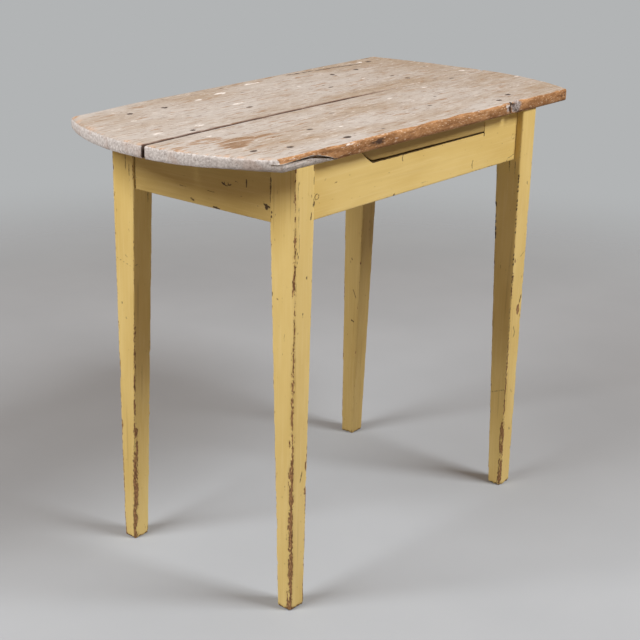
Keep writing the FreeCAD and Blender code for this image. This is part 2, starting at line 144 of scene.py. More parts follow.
def vertex_normals(piece):
    flat = np.empty(len(piece.data.vertices) * 3, np.float32)
    piece.data.vertex_normals.foreach_get("vector", flat)
    return flat.reshape(-1, 3).astype(float)


def move_vertices(piece, places):
    piece.data.vertices.foreach_set("co", places.astype(np.float32).ravel())
    piece.data.update()


def store(piece, name, values):
    """Keeps one number for each vertex, which a material reads by its name."""
    attribute = piece.data.attributes.get(name) or piece.data.attributes.new(name, "FLOAT", "POINT")
    attribute.data.foreach_set("value", np.asarray(values, np.float32))


def stored(piece, name):
    """The numbers kept under a name, or zeros where none were kept."""
    values = np.zeros(len(piece.data.vertices), np.float32)
    if name in piece.data.attributes:
        piece.data.attributes[name].data.foreach_get("value", values)
    return values


def store_more(piece, name, values):
    """Keeps the larger of the numbers already kept and the new ones."""
    store(piece, name, np.maximum(stored(piece, name), values))


def smooth(values, start, end):
    """0 before start, 1 after end and an easy curve between."""
    share = np.clip((values - start) / (end - start), 0, 1)
    return share * share * (3 - 2 * share)


def finish_piece(piece, node, body, material):
    """Gives a modelled piece its finish, and lets it stand for its solid on the right body."""
    pick(piece)
    bpy.ops.object.shade_smooth_by_angle(angle=math.radians(50))
    piece.data.materials.clear()
    piece.data.materials.append(material)
    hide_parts(node)
    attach(piece, body)
    print(piece.name, len(piece.data.polygons), "faces on", body)


print("modelling helpers ready")

# %% [markdown]
# Old timber is worn most along its arrises, where paint chips off and splinters break away. The Displace
# modifier could carve chips from a texture, but real chips are long in the grain and follow the edges. So
# the sawn block's sharp edges are remembered as points, and each vertex of the fine mesh measures how far
# it is from the nearest one. Noise that is stretched along the grain then says where a chip has come off.

# %% Worn arrises
EDGE_STEP = 1.5 * MM
SHARP_ANGLE = math.radians(15)
CHIP_LONG, CHIP_WIDE = 34 * MM, 5 * MM
FLAKE_LONG, FLAKE_WIDE = 7 * MM, 2.2 * MM
WAVE_LONG, WAVE_WIDE, WAVE_DEPTH = 120 * MM, 24 * MM, 0.35 * MM


def sharp_edge_tree(piece, hidden=None):
    """A search tree of points along the sharp edges of a sawn block, but for those at the hidden height."""
    shape = bmesh.new()
    shape.from_mesh(piece.data)
    points = []
    for edge in shape.edges:
        covered = hidden is not None and min(vertex.co.z for vertex in edge.verts) > hidden - MM
        if not covered and len(edge.link_faces) == 2 and edge.calc_face_angle(0) > SHARP_ANGLE:
            start, end = (vertex.co for vertex in edge.verts)
            steps = max(1, round(edge.calc_length() / EDGE_STEP))
            points += [start.lerp(end, step / steps) for step in range(steps + 1)]
    shape.free()
    tree = KDTree(len(points))
    for index, point in enumerate(points):
        tree.insert(point, index)
    tree.balance()
    return tree


def edge_distance(places, tree):
    return np.array([tree.find(place)[2] for place in places])


def grain_noise(places, along, length, width, seed):
    """Smooth noise from -1 to 1 whose spots are long in the grain; along is the grain's axis, 0, 1 or 2."""
    scale = np.full(3, 1 / width)
    scale[along] = 1 / length
    return np.array([noise.noise(place) for place in places * scale + seed])


def chip_arrises(piece, tree, along, seed, reach, depth, wear):
    """Rounds the arrises and breaks chips off them, and keeps where paint was lost as chip and arris."""
    places = vertex_places(piece)
    near = np.clip(1 - edge_distance(places, tree) / reach, 0, 1)
    coarse = grain_noise(places, along, CHIP_LONG, CHIP_WIDE, seed)
    fine = grain_noise(places, along, FLAKE_LONG, FLAKE_WIDE, seed + 7)
    chip = smooth(near + 0.55 * wear + 0.75 * coarse + 0.35 * fine - 1.3, 0, 0.22)
    uneven = grain_noise(places, along, WAVE_LONG, WAVE_WIDE, seed + 3)
    loss = chip * depth + near ** 2 * depth * 0.5 + (uneven * 0.5 + 0.5) * WAVE_DEPTH
    move_vertices(piece, places - vertex_normals(piece) * loss[:, None])
    store(piece, "chip", chip)
    store(piece, "arris", near * np.minimum(0.72 + 0.2 * wear + 0.3 * coarse, 1.1))


print("chips", CHIP_LONG, "m long and flakes", FLAKE_LONG, "m long")

# %% [markdown]
# Single scars, such as a knock, a scratch or a stain, stand where the photograph shows them. They could be
# painted by hand in texture paint, but then they would live in an image. Here each is a short stroke or a
# round spot in millimetres, and its distance is measured at the mesh's own vertices. The shader then
# darkens it with a ragged edge.

# %% Strokes and spots
STROKE_STEP = 1.5


def face_strokes(axis, level, rows):
    """Strokes on an upright face at a level on an axis, 0 or 1. A row gives a start and an end, each along
    the face and up it, then a half width and a strength."""
    strokes = []
    for along, height, along_end, height_end, half, strength in rows:
        start, end = [along, height], [along_end, height_end]
        start.insert(axis, level)
        end.insert(axis, level)
        strokes.append((start, end, half, strength))
    return strokes


def arc_strokes(middle, radius, start, end, across, half, strength):
    """Strokes along an arc on an upright face, from start to end in degrees; across is its level axis."""
    steps = max(3, round(radius * math.radians(abs(end - start)) / STROKE_STEP))
    points = []
    for step in range(steps + 1):
        angle = math.radians(start + (end - start) * step / steps)
        point = list(middle)
        point[across] += radius * math.cos(angle)
        point[2] += radius * math.sin(angle)
        points.append(point)
    return [(here, there, half, strength) for here, there in zip(points, points[1:])]


def stroke_values(places, strokes):
    """How strongly each place lies on a stroke: start, end and half width in millimetres, and a strength."""
    values = np.zeros(len(places))
    for start, end, half, strength in strokes:
        start = np.array(start)
        along = np.array(end) - start
        share = np.clip((places - start) @ along / max(along @ along, 1e-9), 0, 1)
        away = np.linalg.norm(places - start - share[:, None] * along, axis=1)
        values = np.maximum(values, strength * (1 - smooth(away, half * 0.5, half * 1.6)))
    return values


def spot_values(places, spots):
    """How strongly each place lies in a spot: its middle and half sizes in millimetres, and a strength."""
    values = np.zeros(len(places))
    for middle, halves, strength in spots:
        away = np.linalg.norm((places / MM - np.array(middle)) / np.array(halves), axis=1)
        values = np.maximum(values, strength * (1 - smooth(away, 0.4, 1.25)))
    return values


def paint_marks(piece, strokes, through=None):
    """Dark strokes in the paint. They go right through the piece along the axis through, if one is given, and
    are then written with 0 there."""
    places = vertex_places(piece) / MM
    if through is not None:
        places[:, through] = 0
    store_more(piece, "mark", stroke_values(places, strokes))
    print(piece.name, len(strokes), "strokes")


print("strokes and spots ready")

# %% [markdown]
# Colours are written as sRGB hex codes, and shaders work in linear light, so one function turns them. One
# more adds a shader node with its settings, and either links or sets each of its inputs. On top of it, a
# pattern is noise of a real size that is drawn out along the grain, and a glaze is a tint that lies on a
# colour where such a pattern passes from one value to another.


# %% Shader helpers
def colour(code):
    parts = [int(code[i:i + 2], 16) / 255 for i in (1, 3, 5)]
    linear = [c / 12.92 if c <= 0.04045 else ((c + 0.055) / 1.055) ** 2.4 for c in parts]
    return (*linear, 1.0)


def add(tree, kind, inputs=None, **settings):
    node = tree.nodes.new("ShaderNode" + kind)
    for key, value in settings.items():
        setattr(node, key, value)
    for socket, value in (inputs or {}).items():
        if isinstance(value, bpy.types.NodeSocket):
            tree.links.new(value, node.inputs[socket])
        else:
            node.inputs[socket].default_value = value
    return node


def new_material(name):
    material = bpy.data.materials.new(name)
    material.use_nodes = True
    tree = material.node_tree
    place = add(tree, "TexCoord").outputs["Object"]
    return material, tree, tree.nodes["Principled BSDF"], place


def pattern(tree, place, axis, share, size, detail, rough=0.5):
    """Noise with spots of a real size; along the grain's axis its scale is only a share of that across."""
    scale = [1, 1, 1]
    scale[axis] = share
    drawn = add(tree, "Mapping", {"Vector": place, "Scale": scale}).outputs[0]
    settings = {"Vector": drawn, "Scale": 1 / size, "Detail": detail, "Roughness": rough}
    return add(tree, "TexNoise", settings).outputs["Fac"]


def glaze(tree, under, value, start, end, strength, tint):
    """A tint over a colour: none where the value is at start, and up to the strength where it is at end."""
    share = add(tree, "MapRange", {0: value, 1: start, 2: end, 4: strength}).outputs[0]
    return add(tree, "Mix", {0: share, 6: under, 7: tint}, data_type="RGBA").outputs[2]


def roughened(tree, name, value, times):
    """What a mesh keeps under a name, with its rim broken up by a pattern's value."""
    kept = add(tree, "Attribute", attribute_name=name).outputs["Fac"]
    return add(tree, "Math", {0: value, 1: times, 2: kept}, operation="MULTIPLY_ADD").outputs[0]


def dress(tree, shader, base, gloss, relief, strength, depth):
    """Gives a shader its colour, its roughness and the relief of its surface."""
    bump = add(tree, "Bump", {"Height": relief, "Strength": strength, "Distance": depth}).outputs[0]
    for socket, value in (("Base Color", base), ("Roughness", gloss), ("Normal", bump)):
        tree.links.new(value, shader.inputs[socket])


print("shader helpers ready")

# %% [markdown]
# The frame's finish is old yellow ochre oil paint, brushed thick on pine and satin with age. It gives the eye
# a warm, even yellow with faint brush lines along the grain, hairline cracks, and dark brown wood wherever it
# has chipped. Pieces that stand in shade get a darker copy of it, as painted shade. The chips are stored on
# each mesh, so paint and shape agree.

# %% Old ochre paint
# Age has dulled both paint and bare wood, so they mirror only half as much as a clean surface would.
DULLED = 0.25
SPOT_SHARE, LINE_SHARE = 0.35, 0.03


def lost_paint(tree, speck, flake, ragged):
    """Where the paint is gone: in the stored chips and in specks along the arrises, with ragged rims."""
    chip = roughened(tree, "chip", ragged, 1)
    chip = add(tree, "MapRange", {0: chip, 1: 0.55, 2: 0.75}).outputs[0]
    arris = roughened(tree, "arris", speck, 1.7)
    arris = add(tree, "Math", {0: flake, 1: 0.6, 2: arris}, operation="MULTIPLY_ADD").outputs[0]
    arris = add(tree, "MapRange", {0: arris, 1: 1.93, 2: 2.05}).outputs[0]
    return add(tree, "Math", {0: chip, 1: arris}, operation="MAXIMUM").outputs[0]


def make_ochre_paint(name, axis, hairlines, painted_shade):
    material, tree, shader, place = new_material(name)
    tone = pattern(tree, place, axis, SPOT_SHARE, 60 * MM, 4)
    brush = pattern(tree, place, axis, LINE_SHARE, 3 * MM, 3)
    hair = pattern(tree, place, axis, LINE_SHARE, 8 * MM, 1)
    speck = pattern(tree, place, axis, SPOT_SHARE, 4 * MM, 3)
    flake = pattern(tree, place, axis, SPOT_SHARE, 1.7 * MM, 4, 0.65)
    ragged = add(tree, "Math", {0: flake, 1: 2.4, 2: -1.2}, operation="MULTIPLY_ADD").outputs[0]
    base = glaze(tree, colour("#dcc37d"), tone, 0.35, 0.68, 1, colour("#d0b46b"))
    # Painted shade: the base is darkened towards brown by painted_shade, and its pale brush lines fade with
    # it.
    base = add(tree, "Mix", {0: painted_shade, 6: base, 7: colour("#86693a")}, data_type="RGBA").outputs[2]
    base = glaze(tree, base, brush, 0.5, 0.85, 0.4 * (1 - painted_shade), colour("#e6d29c"))
    crack = add(tree, "MapRange", {0: hair, 1: 0.68, 2: 0.715, 4: hairlines}).outputs[0]
    base = add(tree, "Mix", {0: crack, 6: base, 7: colour("#8a6a35")}, data_type="RGBA").outputs[2]
    base = glaze(tree, base, speck, 0.70, 0.76, 0.7, colour("#75552a"))
    wood = glaze(tree, colour("#a98257"), flake, 0.4, 0.62, 1, colour("#63442b"))
    bare = lost_paint(tree, speck, flake, ragged)
    base = add(tree, "Mix", {0: bare, 6: base, 7: wood}, data_type="RGBA").outputs[2]
    # Dark marks: scars, and on the front apron the painted shade of the sawn opening.
    mark = roughened(tree, "mark", ragged, 0.5)
    base = glaze(tree, base, mark, 0.3, 0.7, 0.95, colour("#3b2412"))
    gloss = add(tree, "MapRange", {0: bare, 3: 0.5, 4: 0.82}).outputs[0]
    relief = add(tree, "Math", {0: brush, 1: crack}, operation="SUBTRACT").outputs[0]
    dress(tree, shader, base, gloss, relief, 0.2, 0.6 * MM)
    shader.inputs["IOR"].default_value = 1.5
    shader.inputs["Specular IOR Level"].default_value = DULLED
    return material


# The rear right leg, the drawer front and the end aprons stand in shade, so their paint is darkened as
# painted shade.
paint_upright = make_ochre_paint("ochre_paint_upright", 2, 0.25, 0.0)
paint_rear_shaded = make_ochre_paint("ochre_paint_rear", 2, 0.25, 0.4)
paint_long = make_ochre_paint("ochre_paint_long", 0, 0.04, 0.0)
paint_drawer_shaded = make_ochre_paint("ochre_paint_drawer", 0, 0.04, 0.48)
paint_short_shaded = make_ochre_paint("ochre_paint_short", 1, 0.08, 0.25)
print("paint", [item.name for item in bpy.data.materials if item.name.startswith("ochre_paint_")])

# %% [markdown]
# The top is bare pine, scrubbed for generations: bleached to a greyish pink beige, with raised grain, white
# paint specks, small dark knots and nail holes. Its ends are grey, rough end grain, and its edges are worn
# to orange wood. One mixed noise could give it some grain, but here each thing that happened to the boards
# is a layer of its own.


# %% Layers of the scrubbed pine
def weathered_wood(tree, tone, ring, line, smear):
    """Bleached boards: two tones, faint rings, dark and pale grain, and a whitish bloom of old scrubbing."""
    wood = glaze(tree, colour("#aaa39c"), tone, 0.36, 0.66, 1, colour("#978775"))
    ring = add(tree, "Math", {0: ring, 1: 18.0}, operation="MULTIPLY").outputs[0]
    ring = add(tree, "Math", {0: ring, 1: 1.0}, operation="PINGPONG").outputs[0]
    wood = glaze(tree, wood, ring, 0.7, 1.0, 0.12, colour("#826c5b"))
    wood = glaze(tree, wood, line, 0.54, 0.66, 0.28, colour("#735e50"))
    wood = glaze(tree, wood, line, 0.46, 0.34, 0.33, colour("#bbb2ab"))
    return glaze(tree, wood, smear, 0.54, 0.66, 0.44, colour("#bab4af"))


def spilt_stain(tree, wood, line, smear):
    """A brown stain that has crept along the grain."""
    streaky = roughened(tree, "stain", line, 4.2)
    streaky = add(tree, "Math", {0: smear, 1: 1.6, 2: streaky}, operation="MULTIPLY_ADD").outputs[0]
    wood = glaze(tree, wood, streaky, 3.2, 3.6, 0.75, colour("#8a6a49"))
    return glaze(tree, wood, streaky, 3.8, 4.2, 0.55, colour("#6f5238"))


def nicks(tree, wood, nick):
    """Short dark nicks and pale scratches all over the boards."""
    wood = glaze(tree, wood, nick, 0.59, 0.66, 0.6, colour("#655145"))
    return glaze(tree, wood, nick, 0.39, 0.32, 0.62, colour("#cfc8c2"))


def worn_edges(tree, wood, line, smear, nick, grit):
    """Edges rubbed down to warm amber wood with darker streaks, and the brown dirt in the joint."""
    amber = glaze(tree, colour("#8a623d"), smear, 0.4, 0.6, 1, colour("#ad8259"))
    amber = glaze(tree, amber, line, 0.52, 0.64, 0.5, colour("#643f23"))
    amber = glaze(tree, amber, grit, 0.58, 0.66, 0.75, colour("#d6bb9f"))
    amber = glaze(tree, amber, grit, 0.42, 0.34, 0.6, colour("#5c3c24"))
    worn = roughened(tree, "worn", nick, 1.1)
    wood = glaze(tree, wood, worn, 0.9, 1.1, 1, amber)
    rubbed = add(tree, "Attribute", attribute_name="rubbed").outputs["Fac"]
    patchy = add(tree, "MapRange", {0: smear, 1: 0.46, 2: 0.6}).outputs[0]
    rubbed = add(tree, "Math", {0: rubbed, 1: patchy}, operation="MULTIPLY").outputs[0]
    wood = glaze(tree, wood, rubbed, 0, 1, 1, colour("#b88d68"))
    seam = add(tree, "Attribute", attribute_name="seam").outputs["Fac"]
    return glaze(tree, wood, seam, 0, 1, 1, colour("#5a3d2f"))


def end_grain(tree, wood, place):
    """Grey end grain, weathered almost white, and the cracked dead knot in the near edge."""
    pits = pattern(tree, place, 0, 1, 3.6 * MM, 6, 0.65)
    lump = pattern(tree, place, 0, 1, 30 * MM, 3)
    grey = glaze(tree, colour("#a29c99"), pits, 0.36, 0.6, 1, colour("#cfccca"))
    grey = glaze(tree, grey, lump, 0.52, 0.64, 0.35, colour("#a88f7e"))
    grey = glaze(tree, grey, pits, 0.37, 0.31, 0.7, colour("#6f635c"))
    end = add(tree, "Attribute", attribute_name="end").outputs["Fac"]
    ragged = add(tree, "Math", {0: pits, 1: 1.2, 2: end}, operation="MULTIPLY_ADD").outputs[0]
    wood = glaze(tree, wood, ragged, 0.9, 1.15, 1, grey)
    dead = glaze(tree, colour("#6c615d"), pits, 0.4, 0.6, 1, colour("#b3aba8"))
    knot = add(tree, "Attribute", attribute_name="knot").outputs["Fac"]
    return glaze(tree, wood, knot, 0, 1, 1, dead), end


def paint_flecks(tree, wood, nick):
    """Splashes of white paint, broken up by the grain."""
    fleck = roughened(tree, "fleck", nick, 3.0)
    return glaze(tree, wood, fleck, 2.05, 2.35, 0.9, colour("#dbd6d1"))


def holes_and_gap_shade(tree, wood, nick):
    """Nail holes, small knots and cracks, nearly black, and painted shade on the inner faces of the open
    joint.
    """
    hole = roughened(tree, "mark", nick, 1.1)
    return glaze(tree, wood, hole, 0.92, 1.25, 0.92, colour("#3b2c25"))


print("layers of the scrubbed pine ready")

# %% [markdown]
# The layers go on in the order in which they came about: weather, spills, nicks, rubbed edges and ends,
# splashed paint and holes; the last layer also paints shade into the open joint. The boards are a little
# browner towards the right, and the scrubbing has left their grain standing proud.

# %% Scrubbed pine
HALF_SPREAD, BROWNING = 400 * MM, 0.09


def make_scrubbed_pine(name):
    material, tree, shader, place = new_material(name)
    tone = pattern(tree, place, 0, 0.3, 70 * MM, 5)
    line = pattern(tree, place, 0, 0.13, 5.5 * MM, 5, 0.65)
    ring = pattern(tree, place, 0, 0.13, 40 * MM, 2)
    smear = pattern(tree, place, 0, 0.3, 12 * MM, 7, 0.62)
    nick = pattern(tree, place, 0, 0.22, 3.6 * MM, 4, 0.6)
    grit = pattern(tree, place, 0, 0.3, 2.2 * MM, 3, 0.65)
    to_right = add(tree, "SeparateXYZ", {0: place}).outputs["X"]
    spread = {0: to_right, 1: -HALF_SPREAD, 2: HALF_SPREAD, 3: -BROWNING, 4: BROWNING}
    browner = add(tree, "MapRange", spread).outputs[0]
    tone = add(tree, "Math", {0: tone, 1: browner}, operation="ADD").outputs[0]
    wood = weathered_wood(tree, tone, ring, line, smear)
    wood = spilt_stain(tree, wood, line, smear)
    wood = nicks(tree, wood, nick)
    wood = worn_edges(tree, wood, line, smear, nick, grit)
    wood, end = end_grain(tree, wood, place)
    wood = paint_flecks(tree, wood, nick)
    wood = holes_and_gap_shade(tree, wood, nick)
    gloss = add(tree, "MapRange", {0: line, 3: 0.65, 4: 0.88}).outputs[0]
    along = add(tree, "Math", {0: 1.0, 1: end}, operation="SUBTRACT").outputs[0]
    relief = add(tree, "Math", {0: line, 1: along}, operation="MULTIPLY").outputs[0]
    dress(tree, shader, wood, gloss, relief, 0.45, 0.8 * MM)
    shader.inputs["IOR"].default_value = 1.45
    shader.inputs["Specular IOR Level"].default_value = DULLED
    return material


scrubbed_pine = make_scrubbed_pine("bleached_pine_scrubbed")
print("top finish", scrubbed_pine.name)

# %% [markdown]
# Inside the frame the pine was never painted. It has darkened to brown, with plain long grain and a dry
# surface. The nails are wrought iron, rusted to a dark brown crust that hardly shines.


# %% Bare inner pine and nail iron
def make_inner_pine(name, axis):
    material, tree, shader, place = new_material(name)
    line = pattern(tree, place, axis, 0.05, 4 * MM, 5, 0.6)
    tone = pattern(tree, place, axis, 0.4, 45 * MM, 5)
    base = glaze(tree, colour("#a37c4f"), line, 0.3, 0.75, 1, colour("#735031"))
    base = glaze(tree, base, tone, 0.45, 0.7, 0.6, colour("#66492f"))
    gloss = add(tree, "MapRange", {0: line, 3: 0.65, 4: 0.85}).outputs[0]
    dress(tree, shader, base, gloss, line, 0.4, 0.6 * MM)
    return material


def make_nail_iron(name):
    material, tree, shader, place = new_material(name)
    rust = pattern(tree, place, 0, 1, 1.5 * MM, 3)
    base = glaze(tree, colour("#241b17"), rust, 0, 1, 1, colour("#4c3223"))
    tree.links.new(base, shader.inputs["Base Color"])
    gloss = add(tree, "MapRange", {0: rust, 3: 0.55, 4: 0.9}).outputs[0]
    tree.links.new(gloss, shader.inputs["Roughness"])
    shader.inputs["Metallic"].default_value = 0.35
    return material


pine_across = make_inner_pine("inner_pine_across", 0)
pine_deep = make_inner_pine("inner_pine_deep", 1)
nail_iron = make_nail_iron("nail_iron_rusted")
print("inner finishes", pine_across.name, pine_deep.name, nail_iron.name)

# %% [markdown]
# A leg is one square post, sawn to a taper on its two inner faces below the aprons. It starts as the square
# block at the aprons. Its lower face is extruded to the floor and scaled towards the outer corner, which
# keeps the two outer faces straight. The outer corner is bevelled, and mortises are cut for tenons.

# %% Legs
FOOT_SIZE = Vector((33 * MM, 28 * MM))
LEG_CORNER = 2.5 * MM
LEG_BEDDING = 2 * MM
TENON_THICK = 9 * MM
TENON_LOW = 8 * MM
TENON_TOP = 60 * MM
MORTISE_SPARE = 1 * MM
LEG_CELL = 2.0 * MM
LEG_CHIP_DEPTH = 1.3 * MM

apron_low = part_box("apron_rear")[0].z
tenon_span = (apron_low + TENON_LOW, apron_low + TENON_TOP)


def tenon_box(apron):
    """The box of the tenon that runs through an apron from end to end, thinner and lower than the board."""
    low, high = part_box(apron)
    middle = (low + high) / 2
    thin = 1 if high.x - low.x > high.y - low.y else 0
    low[thin] = middle[thin] - TENON_THICK / 2
    high[thin] = middle[thin] + TENON_THICK / 2
    low.z, high.z = tenon_span
    return low, high


def saw_mortises(piece, end, side, inward):
    """A mortise for the tenon of each of the leg's two aprons, a little deeper than the tenon is long."""
    for along, apron in enumerate((f"apron_{end}", f"apron_{side}")):
        slot_low, slot_high = tenon_box(apron)
        if inward[along] > 0:
            slot_low[along] -= MORTISE_SPARE
        else:
            slot_high[along] += MORTISE_SPARE
        cut_away(piece, start_block("mortise", slot_low, slot_high))


def leg_wear(places, outer, corner_wear):
    """How worn a leg is: most of all at the floor, then low down and along its outer corner."""
    from_corner = np.linalg.norm(places[:, :2] - np.array(outer.xy), axis=1)
    near_corner = 1 - smooth(from_corner, 4 * MM, 14 * MM)
    low_down = 1 - smooth(places[:, 2], 60 * MM, 480 * MM)
    at_floor = 1 - smooth(places[:, 2], 2 * MM, 9 * MM)
    high_up = smooth(places[:, 2], 590 * MM, 680 * MM)
    corner = corner_wear * near_corner * (0.37 + 0.43 * low_down - 0.32 * high_up)
    return 0.25 + 0.45 * low_down + corner + 0.8 * at_floor


def model_leg(end, side, seed, corner_wear, reach, finish):
    node = f"leg_{end}_{side}"
    low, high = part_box(node)
    inward = Vector((1 if side == "left" else -1, 1 if end == "front" else -1))
    outer = Vector((low.x if side == "left" else high.x, low.y if end == "front" else high.y, 0))
    piece = start_block(f"{node}_post", (low.x, low.y, apron_low), (high.x, high.y, high.z + LEG_BEDDING))
    select_parts(piece, "FACE", lambda face: face.normal.z < -0.9)
    bpy.ops.mesh.extrude_region_move(TRANSFORM_OT_translate={"value": (0, 0, -apron_low)})
    shares = (FOOT_SIZE.x / (high.x - low.x), FOOT_SIZE.y / (high.y - low.y), 1)
    bpy.ops.transform.resize(value=shares, center_override=outer)
    object_mode()
    select_parts(piece, "EDGE", lambda edge: all((v.co.xy - outer.xy).length < 0.1 * MM for v in edge.verts))
    bpy.ops.mesh.bevel(offset=LEG_CORNER, segments=3)
    object_mode()
    tree = sharp_edge_tree(piece, high.z)
    saw_mortises(piece, end, side, inward)
    even_mesh(piece, LEG_CELL)
    wear = leg_wear(vertex_places(piece), outer, corner_wear)
    chip_arrises(piece, tree, 2, seed, reach, LEG_CHIP_DEPTH, wear)
    finish_piece(piece, node, "table", finish)
    return piece


# The rear right leg takes the darker paint, as painted shade under the top.
legs = {
    "front_left": model_leg("front", "left", 11.3, 1.4, 8.5 * MM, paint_upright),
    "front_right": model_leg("front", "right", 23.9, 0.5, 6 * MM, paint_upright),
    "rear_left": model_leg("rear", "left", 37.1, 0.4, 6 * MM, paint_upright),
    "rear_right": model_leg("rear", "right", 51.7, 0.5, 6 * MM, paint_rear_shaded),
}

# %% [markdown]
# Each leg has scars of its own: hairline checks, knocks and scratches. They are written in millimetres, and
# a tapered face is given by where it lies at the aprons and where it lies at the floor.

# %% Scars on the legs
FRONT_FACE, LEFT_FACE = -217, -350.5
RIGHT_INNER_FACE, LEFT_INNER_FACE = (254.5, 264.5), (-308, -317.5)
FRONT_LEG_BACK, REAR_LEG_FRONT = (-167, -189), (124, 146)
TAPER_TOP = 637


def tapered(at_apron, at_foot, height):
    """Where a leg's inner face lies at a height: straight at the aprons and tapered below them."""
    return at_apron + (at_foot - at_apron) * max(0, 1 - height / TAPER_TOP)


scars = {}
scars["front_left"] = face_strokes(1, FRONT_FACE, [
    (-346, 712, -340, 594, 0.9, 0.55), (-349, 613, -343, 593, 0.9, 0.75), (-343, 593, -347, 578, 0.8, 0.65),
    (-346, 563, -347, 545, 0.8, 0.6), (-323, 558, -323, 557, 1.8, 0.8), (-331, 503, -331, 502, 1.7, 0.8),
    (-315, 655, -316, 645, 1.4, 0.7), (-309, 675, -310, 664, 1.4, 0.9), (-327, 240, -331, 225, 1.3, 0.7),
    (-350, 724, -350, 719, 1.3, 0.8), (-309, 724, -309, 718, 1.8, 0.9), (-308, 708, -309, 698, 1.6, 0.9),
])
scars["front_left"] += face_strokes(0, LEFT_FACE, [
    (-172, 531, -172, 527, 1.9, 0.8), (-182, 524, -185, 523, 1.4, 0.6), (-171, 655, -171, 654, 1.8, 0.9),
    (-170, 648, -170, 647, 1.8, 0.9), (-169, 705, -169, 686, 1.3, 0.7),
])
scars["front_right"] = face_strokes(1, FRONT_FACE, [
    (273, 322, 278, 312, 1.3, 0.8), (278, 312, 275, 303, 1.3, 0.8), (291, 380, 287, 368, 1.7, 0.8),
    (279, 457, 291, 464, 1.1, 0.6), (283, 594, 285, 590, 1.5, 0.55), (279, 196, 282, 191, 1.2, 0.7),
    (283, 117, 284, 113, 1.6, 0.8),
])
scars["front_right"] += [
    ((255.5, -195, 634), (256, -196, 612), 1.2, 0.8),
    ((255.5, -207, 634), (256, -208, 602), 1.1, 0.7),
    ((tapered(*RIGHT_INNER_FACE, 200), -215, 200), (tapered(*RIGHT_INNER_FACE, 188), -186, 188), 0.8, 0.7),
]
for height in (612, 607, 601, 592, 584, 566, 558, 551, 532, 525, 508, 466, 458, 448, 424, 414):
    arris = tapered(*RIGHT_INNER_FACE, height)
    knock = (arris, FRONT_FACE, height), (arris, FRONT_FACE + 1, height - 3), 1.7, 0.9
    scars["front_right"].append(knock)
for height in (553, 531, 520, 508, 498, 490):
    dot = (tapered(*RIGHT_INNER_FACE, height), tapered(*FRONT_LEG_BACK, height) - 1.5, height)
    dot_end = (*dot[:2], height - 2 - height % 5)
    scars["front_right"].append((dot, dot_end, 2.1 + 0.3 * (height % 3), 0.95))
scars["rear_left"] = face_strokes(0, LEFT_FACE, [
    (171, 516, 126, 504, 0.7, 0.55), (148, 524, 144, 521, 1.4, 0.5), (160, 440, 160, 437, 1.5, 0.6),
    (151, 415, 150, 413, 1.5, 0.6), (141, 692, 141, 668, 1.1, 0.7), (133, 676, 133, 660, 1.2, 0.7),
    (124.5, 636, tapered(*REAR_LEG_FRONT, 470), 470, 1.0, 0.75),
    (tapered(*REAR_LEG_FRONT, 460), 460, tapered(*REAR_LEG_FRONT, 60), 60, 1.3, 0.8),
])
scars["rear_left"] += [
    ((-318, 124, 640), (-318, 125, 611), 1.1, 0.7),
    ((-348, tapered(*REAR_LEG_FRONT, 508), 508), (-341, tapered(*REAR_LEG_FRONT, 508), 510), 1.0, 0.7),
]
scars["rear_right"] = [
    ((255, 152, 560), (255, 151, 558), 1.8, 0.7), ((257, 140, 500), (257, 139, 498), 1.8, 0.8),
    ((259, 155, 380), (259, 154, 378), 1.7, 0.7), ((260, 150, 316), (260, 143, 300), 1.2, 0.7),
    ((261, 153, 250), (261, 147, 248), 1.6, 0.8),
]
for name, strokes in scars.items():
    paint_marks(legs[name], strokes)

# %% [markdown]
# Low down, feet and brooms have rubbed the paint off whole lengths of some arrises, and single flakes have
# come off the front faces. These go into the stored chips, broken up along the grain, so that bare wood
# shows there.

# %% Rubbed arrises of the legs
RUB_LONG, RUB_WIDE, RUB_SEED = 22 * MM, 6 * MM, 41.7


def down_arris(axis, arris, level, low, high, half, strength):
    """A stroke on a tapered arris between two heights; axis is the one along which the taper moves it."""
    start, end = [level, level, low], [level, level, high]
    start[axis], end[axis] = tapered(*arris, low), tapered(*arris, high)
    return start, end, half, strength


lost_flakes = {
    "front_right": [((283, FRONT_FACE, 355), (6, 6, 12), 1.3), ((291, FRONT_FACE, 340), (2.5, 4, 5), 0.8),
                    ((262, FRONT_FACE, 452), (3, 5, 7), 0.8), ((261, FRONT_FACE, 425), (2, 4, 9), 0.8)],
    "front_left": [((-318, FRONT_FACE, 250), (3, 5, 14), 0.8), ((-320, FRONT_FACE, 205), (3, 5, 9), 0.8)],
}
rubbed_arrises = {
    "front_right": [down_arris(0, RIGHT_INNER_FACE, FRONT_FACE + 2, 0, 130, 5.0, 1.0),
                    down_arris(0, RIGHT_INNER_FACE, FRONT_FACE, 130, 430, 3.0, 0.78)],
    "front_left": [down_arris(0, LEFT_INNER_FACE, FRONT_FACE, 0, 270, 3.5, 0.85)],
    "rear_left": [down_arris(1, REAR_LEG_FRONT, LEFT_FACE + 3, 0, 210, 5.5, 1.1),
                  down_arris(1, REAR_LEG_FRONT, LEFT_FACE + 1, 210, 400, 3.0, 0.85)],
}
for name, strokes in rubbed_arrises.items():
    leg_places = vertex_places(legs[name])
    broken_up = 0.8 + 0.75 * grain_noise(leg_places, 2, RUB_LONG, RUB_WIDE, RUB_SEED)
    gone = stroke_values(leg_places / MM, strokes) * broken_up
    gone = np.maximum(gone, spot_values(leg_places, lost_flakes.get(name, [])))
    store_more(legs[name], "chip", gone)
    print(name, "bare at", int((gone > 0.5).sum()), "vertices")

# %% [markdown]
# An apron is a board on edge with a thinner tenon at each end, which goes into the legs' mortises. The
# tenons could be extruded from the board's ends. A second, longer block through the board is simpler,
# because the two blocks are remeshed into one piece anyway.

